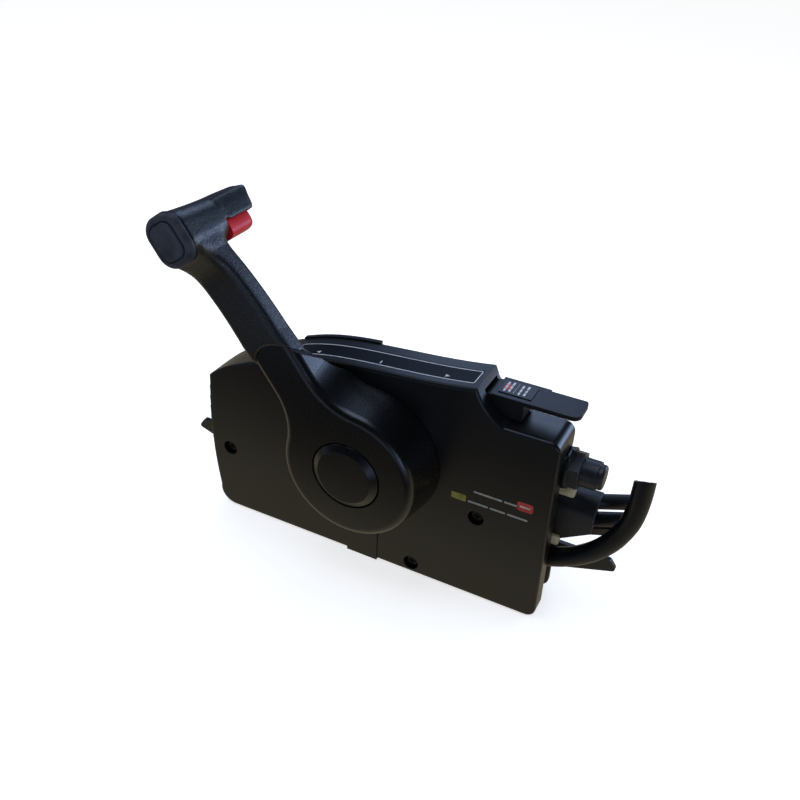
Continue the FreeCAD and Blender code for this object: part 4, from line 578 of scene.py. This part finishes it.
# Nylon nuts: long hexagons with a rounded outer end

nutShape = dict(flats=6.4, crown=1.3, corner=1.12, steps=36, crownSteps=6,
                spans=[((-12.6, 3.2), 110.4, 122.6), ((-13.2, -33.9), 109.6, 118.2)])     # mm


def longNut(centre, start, end):
    # a hexagon's radius is flats / 2 / cos(angle from the nearest flat), its corners trimmed; the
    # last rings draw in on a quarter circle
    angle = np.linspace(0, 2 * np.pi, nutShape["steps"], endpoint=False)
    fromFlat = (angle + np.pi / 6) % (np.pi / 3) - np.pi / 6
    radius = nutShape["flats"] / 2 * np.minimum(1 / np.cos(fromFlat), nutShape["corner"])
    through = np.sin(np.linspace(0, np.pi / 2, nutShape["crownSteps"]))
    along = np.concatenate([[start], end - nutShape["crown"] * (1 - through)])[:, None]
    drawn = np.concatenate([[0], nutShape["crown"] * (1 - np.sqrt(1 - through ** 2))])[:, None]
    reach = radius[None, :] - drawn
    return withEnds(np.stack([along + 0 * reach, centre[0] + reach * np.sin(angle),
                              centre[1] + reach * np.cos(angle)], -1))


longNuts = newPiece("longNuts", [longNut(*span) for span in nutShape["spans"]], creamNylon, "housing")
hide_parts("nylon_nuts")


# Shroud over the cable block: a moulded channel, open at its end, that the two sleeves leave

shroud = dict(start=98.0, end=135.6, wall=1.3, bevel=3.0,
              section=[(4.0, -3.4), (-4.0, -3.4), (-12.8, -9.0), (-12.8, -33.2)],
              endLow=-22.5, taperFrom=118.0, stations=12)     # mm


def roundedCorners(line, radius, steps=5):
    # each inner corner becomes a curve through its own control point, radius from it on both sides
    stops = [line[:1]]
    for before, corner, after in zip(line[:-2], line[1:-1], line[2:]):
        into, out = before - corner, after - corner
        first = corner + into * radius / np.linalg.norm(into)
        last = corner + out * radius / np.linalg.norm(out)
        t = np.linspace(0, 1, steps)[:, None]
        stops.append((1 - t) ** 2 * first + 2 * t * (1 - t) * corner + t ** 2 * last)
    return np.concatenate(stops + [line[-1:]])


# a channel: the outer line and the same line drawn in by the wall, carried along the box; towards
# the end its lower edge rises
outerLine = roundedCorners(np.array(shroud["section"]), shroud["bevel"])
innerLine = outerLine + np.array([shroud["wall"], -shroud["wall"]])
innerLine[0, 0], innerLine[-1, 1] = outerLine[0, 0], outerLine[-1, 1]
channel = np.concatenate([outerLine, innerLine[::-1]])
along = np.linspace(shroud["start"], shroud["end"], shroud["stations"])
lowest = np.interp(along, [shroud["taperFrom"], shroud["end"]],
                   [shroud["section"][-1][1], shroud["endLow"]])[:, None]
height = np.maximum(channel[None, :, 1], lowest)
rings = np.stack([along[:, None] + 0 * height, channel[None, :, 0] + 0 * height, height], -1)
newPiece("cableShroud", [withEnds(rings)], shroudAbs, "housing")
print("nuts and shroud made")


# Warm-up lever's root: a drum about its pin and a web under its tab, which turn in the cover's notch

root = dict(pivot=(70.0, 50.0), radius=8.4, fromAngle=62.0, toAngle=302.0, heel=79.0, right=88.8,
            low=46.2, top=56.6, front=-23.3, back=-4.7, corner=0.6, steps=30)     # mm, degrees
angle = np.radians(np.linspace(root["fromAngle"], root["toAngle"], root["steps"]))
drum = np.array(root["pivot"]) + root["radius"] * np.stack([np.cos(angle), np.sin(angle)], 1)
profile = np.vstack([drum, [(root["heel"], root["low"]), (root["right"], root["low"]),
                            (root["right"], root["top"])]])
centre = profile.mean(0)
# the profile carried into the panel, drawn in by the corner at both ends
depth = np.array([root["front"], root["front"] + root["corner"], root["back"] - root["corner"],
                  root["back"]])
shrink = 1 - np.array([root["corner"], 0, 0, root["corner"]])[:, None, None] / root["radius"]
outline = centre + (profile - centre)[None] * shrink
rings = np.stack([outline[..., 0], depth[:, None] + 0 * outline[..., 0], outline[..., 1]], -1)
newPiece("leverRoot", [withEnds(rings)], tabNylon, "fast_idle")


# Prints on the cover's front face: plain bars and patches

coverPrint = dict(
    face=-32.0, lift=0.12, barLift=0.2,                       # mm; centre, width, height and corner
    greyBars=[((77.6, -4.0), 17.5), ((91.8, -4.0), 8.5),
              ((72.1, -12.0), 12.5), ((84.3, -12.0), 9.5), ((96.4, -12.0), 12.3)],
    barHeight=1.3, barCorner=0.4,
    redPatch=((100.1, -3.1), (9.6, 6.2), 1.5),
    redBar=((100.1, -3.1), (6.4, 1.2), 0.4),
    yellowPatch=((59.9, -10.9), (9.2, 4.5), 0.5),
)


def onCover(outline, lift):
    # the outline's two measures are x and height; lift is ahead of the cover's face
    return np.column_stack([outline[:, 0], np.full(len(outline), coverPrint["face"] - lift),
                            outline[:, 1]])


bars = [printedSlab(roundedOutline(centre, width, coverPrint["barHeight"], coverPrint["barCorner"]),
                    onCover) for centre, width in coverPrint["greyBars"]]
newPiece("coverBars", bars, greyInk, "housing", smooth=False)
for name, key, material, lift in (("coverRedPatch", "redPatch", redInk, coverPrint["lift"]),
                                  ("coverPatchBar", "redBar", dullInk, coverPrint["barLift"]),
                                  ("coverYellowPatch", "yellowPatch", yellowInk, coverPrint["lift"])):
    centre, size, radius = coverPrint[key]
    newPiece(name, [printedSlab(roundedOutline(centre, *size, radius), onCover, lift)], material,
             "housing", smooth=False)


# Position strip: its printed border, and a mark for each of the three positions

stripPrint = dict(
    border=((1.5, -18.5), (117.4, 13.6), 0.9), line=0.6, steps=6, sunk=0.05, lift=0.12,     # mm
    ahead=(-40.0, -22.0), neutral=(1.5, -22.0), astern=(43.0, -22.0),
    mark=2.8, markWide=0.7, markCorner=0.2, tip=0.62, tail=0.38,
)
skinX, skinZ = topSkin("position_strip")


def onStrip(outline, lift):
    # the outline's two measures are x and depth; its height is the strip's own there, plus lift
    height = np.interp(outline[:, 0], skinX, skinZ)
    return np.column_stack([outline, height + lift])


def denseLoop(outline, step=1.5):
    # points added along the straight runs, so that a long line follows the curved strip
    closed = np.vstack([outline, outline[:1]])
    far = np.concatenate([[0], np.cumsum(np.linalg.norm(np.diff(closed, axis=0), axis=1))])
    stops = np.unique(np.concatenate([far[:-1], np.arange(0, far[-1], step)]))
    return np.stack([np.interp(stops, far, closed[:, axis]) for axis in (0, 1)], 1)


centre, size, radius = stripPrint["border"]
middle = denseLoop(roundedOutline(centre, *size, radius, stripPrint["steps"]))
ahead = np.roll(middle, -1, 0) - np.roll(middle, 1, 0)
ahead /= np.linalg.norm(ahead, axis=1)[:, None]
outward = np.column_stack([ahead[:, 1], -ahead[:, 0]]) * stripPrint["line"] / 2
low, high = -stripPrint["sunk"], stripPrint["lift"]
ringPoints = np.stack([onStrip(middle + outward, low), onStrip(middle + outward, high),
                       onStrip(middle - outward, high), onStrip(middle - outward, low)], 1)
closedRing = np.concatenate([ringPoints, ringPoints[:1]])
newPiece("stripBorder", [(closedRing, gridFaces(len(closedRing), 4, True).tolist())], whiteInk,
         "housing", smooth=False)


def arrowHead(centre, size, heading):
    # a triangle as long and as wide as size, with its tip at the heading side
    tip, tail = stripPrint["tip"] * heading, -stripPrint["tail"] * heading
    corners = np.array([[tip, 0.0], [tail, 0.5], [tail, -0.5]])
    return np.array(centre) + size * (corners if heading > 0 else corners[::-1])


markSize = stripPrint["mark"]
bar = roundedOutline(stripPrint["neutral"], stripPrint["markWide"], markSize, stripPrint["markCorner"])
marks = [printedSlab(outline, onStrip)
         for outline in (arrowHead(stripPrint["ahead"], markSize, -1), bar,
                         arrowHead(stripPrint["astern"], markSize, 1))]
newPiece("stripMarks", marks, whiteInk, "housing", smooth=False)


# Fast idle lever's label: a dark film with plain bars in four columns

tabPrint = dict(
    top=59.5, columns=(75.2, 78.0, 83.6, 86.6), shifts=(0.0, 0.35, -0.25, 0.2),     # mm
    rows=[(-18.4, -15.6), (-15.0, -12.2), (-11.5, -8.0)], bar=1.15, corner=0.3,
    rule=(80.7, -18.8, -7.6, 0.4), lift=0.1, patchLift=0.05,
    redPatch=((75.7, -13.2), (3.4, 7.0), 0.5),
)


def onTab(outline, lift):
    # the outline's two measures are x and depth; lift is above the tab's top
    return np.column_stack([outline, np.full(len(outline), tabPrint["top"] + lift)])


def tabBar(x, low, high, wide):
    # a bar about x, from low to high in depth
    outline = roundedOutline((x, (low + high) / 2), wide, high - low, tabPrint["corner"])
    return printedSlab(outline, onTab, tabPrint["lift"])


bars = [tabBar(x, low + shift, high + shift, tabPrint["bar"])
        for x, shift in zip(tabPrint["columns"], tabPrint["shifts"]) for low, high in tabPrint["rows"]]
bars.append(tabBar(*tabPrint["rule"]))
newPiece("tabBars", bars, whiteInk, "fast_idle", smooth=False)
centre, size, radius = tabPrint["redPatch"]
patch = printedSlab(roundedOutline(centre, *size, radius), onTab, tabPrint["patchLift"])
newPiece("tabRedPatch", [patch], redInk, "fast_idle", smooth=False)
print("prints laid")


# Floor, background and lights

studio = dict(
    # Wide, Near and Far are in m, and Near and Far are places in depth; Bright, Dark, Glow and fill
    # are strengths, and Edge and Full are cosines of the angle to the room's bright side
    floorWide=14.0, floorTone="#F1F1EF", floorGlow=0.62,
    cardTone="#FFF1D2", cardBright=0.44, cardDark=0.012, cardNear=-0.06, cardFar=-0.205,
    farTone="#BFD0F0", farBright=0.55, farNear=-0.33, farFar=-0.42,
    roomTone="#A8C4F4", roomBright=0.17, roomDark=0.012, roomAim=(-0.56, 0.76, 0.34),
    roomEdge=0.86, roomFull=0.99, fill=0.45, fillTone="#F2F3F5",
)
bottom = cadBox[0][2]
floorMesh = bpy.data.meshes.new("studioFloor")
half = studio["floorWide"] / 2
floorMesh.from_pydata([(-half, -half, bottom), (half, -half, bottom), (half, half, bottom),
                       (-half, half, bottom)], [], [(0, 1, 2, 3)])
floor = bpy.data.objects.new("studioFloor", floorMesh)
bpy.context.scene.collection.objects.link(floor)
floorPaint = bpy.data.materials.new("mattWhiteFloor")
floorPaint.use_nodes = True
tree = floorPaint.node_tree
tree.nodes.clear()
ray = addNode(tree, "ShaderNodeLightPath")
seen = addNode(tree, "ShaderNodeMath", None,
               {0: ray.outputs["Is Camera Ray"], 1: ray.outputs["Is Transmission Ray"]},
               operation="MAXIMUM")
glow = addNode(tree, "ShaderNodeMath", {1: studio["floorGlow"]}, {0: seen.outputs[0]},
               operation="MULTIPLY")
paint = addNode(tree, "ShaderNodeBsdfPrincipled",
                {"Base Color": toLinear(studio["floorTone"]), "Roughness": 0.85,
                 "Emission Color": (1.0, 1.0, 1.0, 1.0)}, {"Emission Strength": glow.outputs[0]})
# Black gloss mirrors the floor: a small pale table in a dark room, so its glow fades to the front,
# and far out in front a bluer window's light comes up again
place = addNode(tree, "ShaderNodeTexCoord").outputs["Object"]
apart = addNode(tree, "ShaderNodeSeparateXYZ", None, {0: place})
fade = addNode(tree, "ShaderNodeMapRange",
               {"From Min": studio["cardFar"], "From Max": studio["cardNear"],
                "To Min": studio["cardDark"], "To Max": studio["cardBright"]},
               {"Value": apart.outputs["Y"]}, interpolation_type="SMOOTHSTEP")
card = addNode(tree, "ShaderNodeEmission", {"Color": toLinear(studio["cardTone"])},
               {"Strength": fade.outputs["Result"]})
window = addNode(tree, "ShaderNodeMapRange",
                 {"From Min": studio["farNear"], "From Max": studio["farFar"],
                  "To Max": studio["farBright"]},
                 {"Value": apart.outputs["Y"]}, interpolation_type="SMOOTHSTEP")
window = addNode(tree, "ShaderNodeEmission", {"Color": toLinear(studio["farTone"])},
                 {"Strength": window.outputs["Result"]})
card = addNode(tree, "ShaderNodeAddShader", None, {0: card.outputs[0], 1: window.outputs[0]})
mixed = addNode(tree, "ShaderNodeMixShader", None,
                {0: ray.outputs["Is Glossy Ray"], 1: paint.outputs["BSDF"], 2: card.outputs[0]})
addNode(tree, "ShaderNodeOutputMaterial", None, {"Surface": mixed.outputs[0]})
floorMesh.materials.append(floorPaint)

# The room, as gloss sees it, is bright behind the object and dark elsewhere
world = bpy.data.worlds.new("studioRoom")
bpy.context.scene.world = world
world.use_nodes = True
tree = world.node_tree
tree.nodes.clear()
direction = addNode(tree, "ShaderNodeTexCoord").outputs["Generated"]
toward = addNode(tree, "ShaderNodeVectorMath", {1: Vector(studio["roomAim"]).normalized()},
                 {0: direction}, operation="DOT_PRODUCT")
room = addNode(tree, "ShaderNodeMapRange",
               {"From Min": studio["roomEdge"], "From Max": studio["roomFull"],
                "To Min": studio["roomDark"], "To Max": studio["roomBright"]},
               {"Value": toward.outputs["Value"]}, interpolation_type="SMOOTHSTEP")
ray = addNode(tree, "ShaderNodeLightPath")
through = addNode(tree, "ShaderNodeMath", None,
                  {0: ray.outputs["Is Camera Ray"], 1: ray.outputs["Is Transmission Ray"]},
                  operation="MAXIMUM")
roomLight = addNode(tree, "ShaderNodeBackground", {"Color": toLinear(studio["roomTone"])},
                    {"Strength": room.outputs["Result"]})
fillLight = addNode(tree, "ShaderNodeBackground",
                    {"Color": toLinear(studio["fillTone"]), "Strength": studio["fill"]})
white = addNode(tree, "ShaderNodeBackground", {"Color": (1.0, 1.0, 1.0, 1.0), "Strength": 1.0})
mixed = addNode(tree, "ShaderNodeMixShader", None,
                {0: ray.outputs["Is Glossy Ray"], 1: fillLight.outputs[0], 2: roomLight.outputs[0]})
mixed = addNode(tree, "ShaderNodeMixShader", None,
                {0: through.outputs[0], 1: mixed.outputs[0], 2: white.outputs[0]})
addNode(tree, "ShaderNodeOutputWorld", None, {"Surface": mixed.outputs[0]})


# place and size in m, power in W; each box aims at the lever's shaft
lamps = dict(
    backBox=dict(place=(-0.24, 0.95, 0.74), size=(0.5, 0.45), power=2.6, tint="#B4CCF8"),
    rightBackBox=dict(place=(0.84, 1.0, 0.26), size=(0.6, 0.5), power=7.0, tint="#B4CCF8"),
    leftBox=dict(place=(-1.15, -0.35, 0.85), size=(0.4, 0.4), power=2.2, tint="#DCE8FF"),
    highBox=dict(place=(-0.25, -0.05, 1.45), size=(1.1, 0.8), power=6.0, tint="#C8DAFA"),
    frontRightBox=dict(place=(0.9, -1.02, 0.08), size=(0.4, 0.5), power=1.6, tint="#B4CCF8"),
)
for name, lamp in lamps.items():
    data = bpy.data.lights.new(name, "AREA")
    data.shape = "RECTANGLE"
    data.size, data.size_y = lamp["size"]
    data.energy = lamp["power"]
    data.color = toLinear(lamp["tint"])[:3]
    box = bpy.data.objects.new(name, data)
    bpy.context.scene.collection.objects.link(box)
    box.location = lamp["place"]
    box.rotation_euler = (-Vector(lamp["place"])).to_track_quat("-Z", "Y").to_euler()
print("lights set")
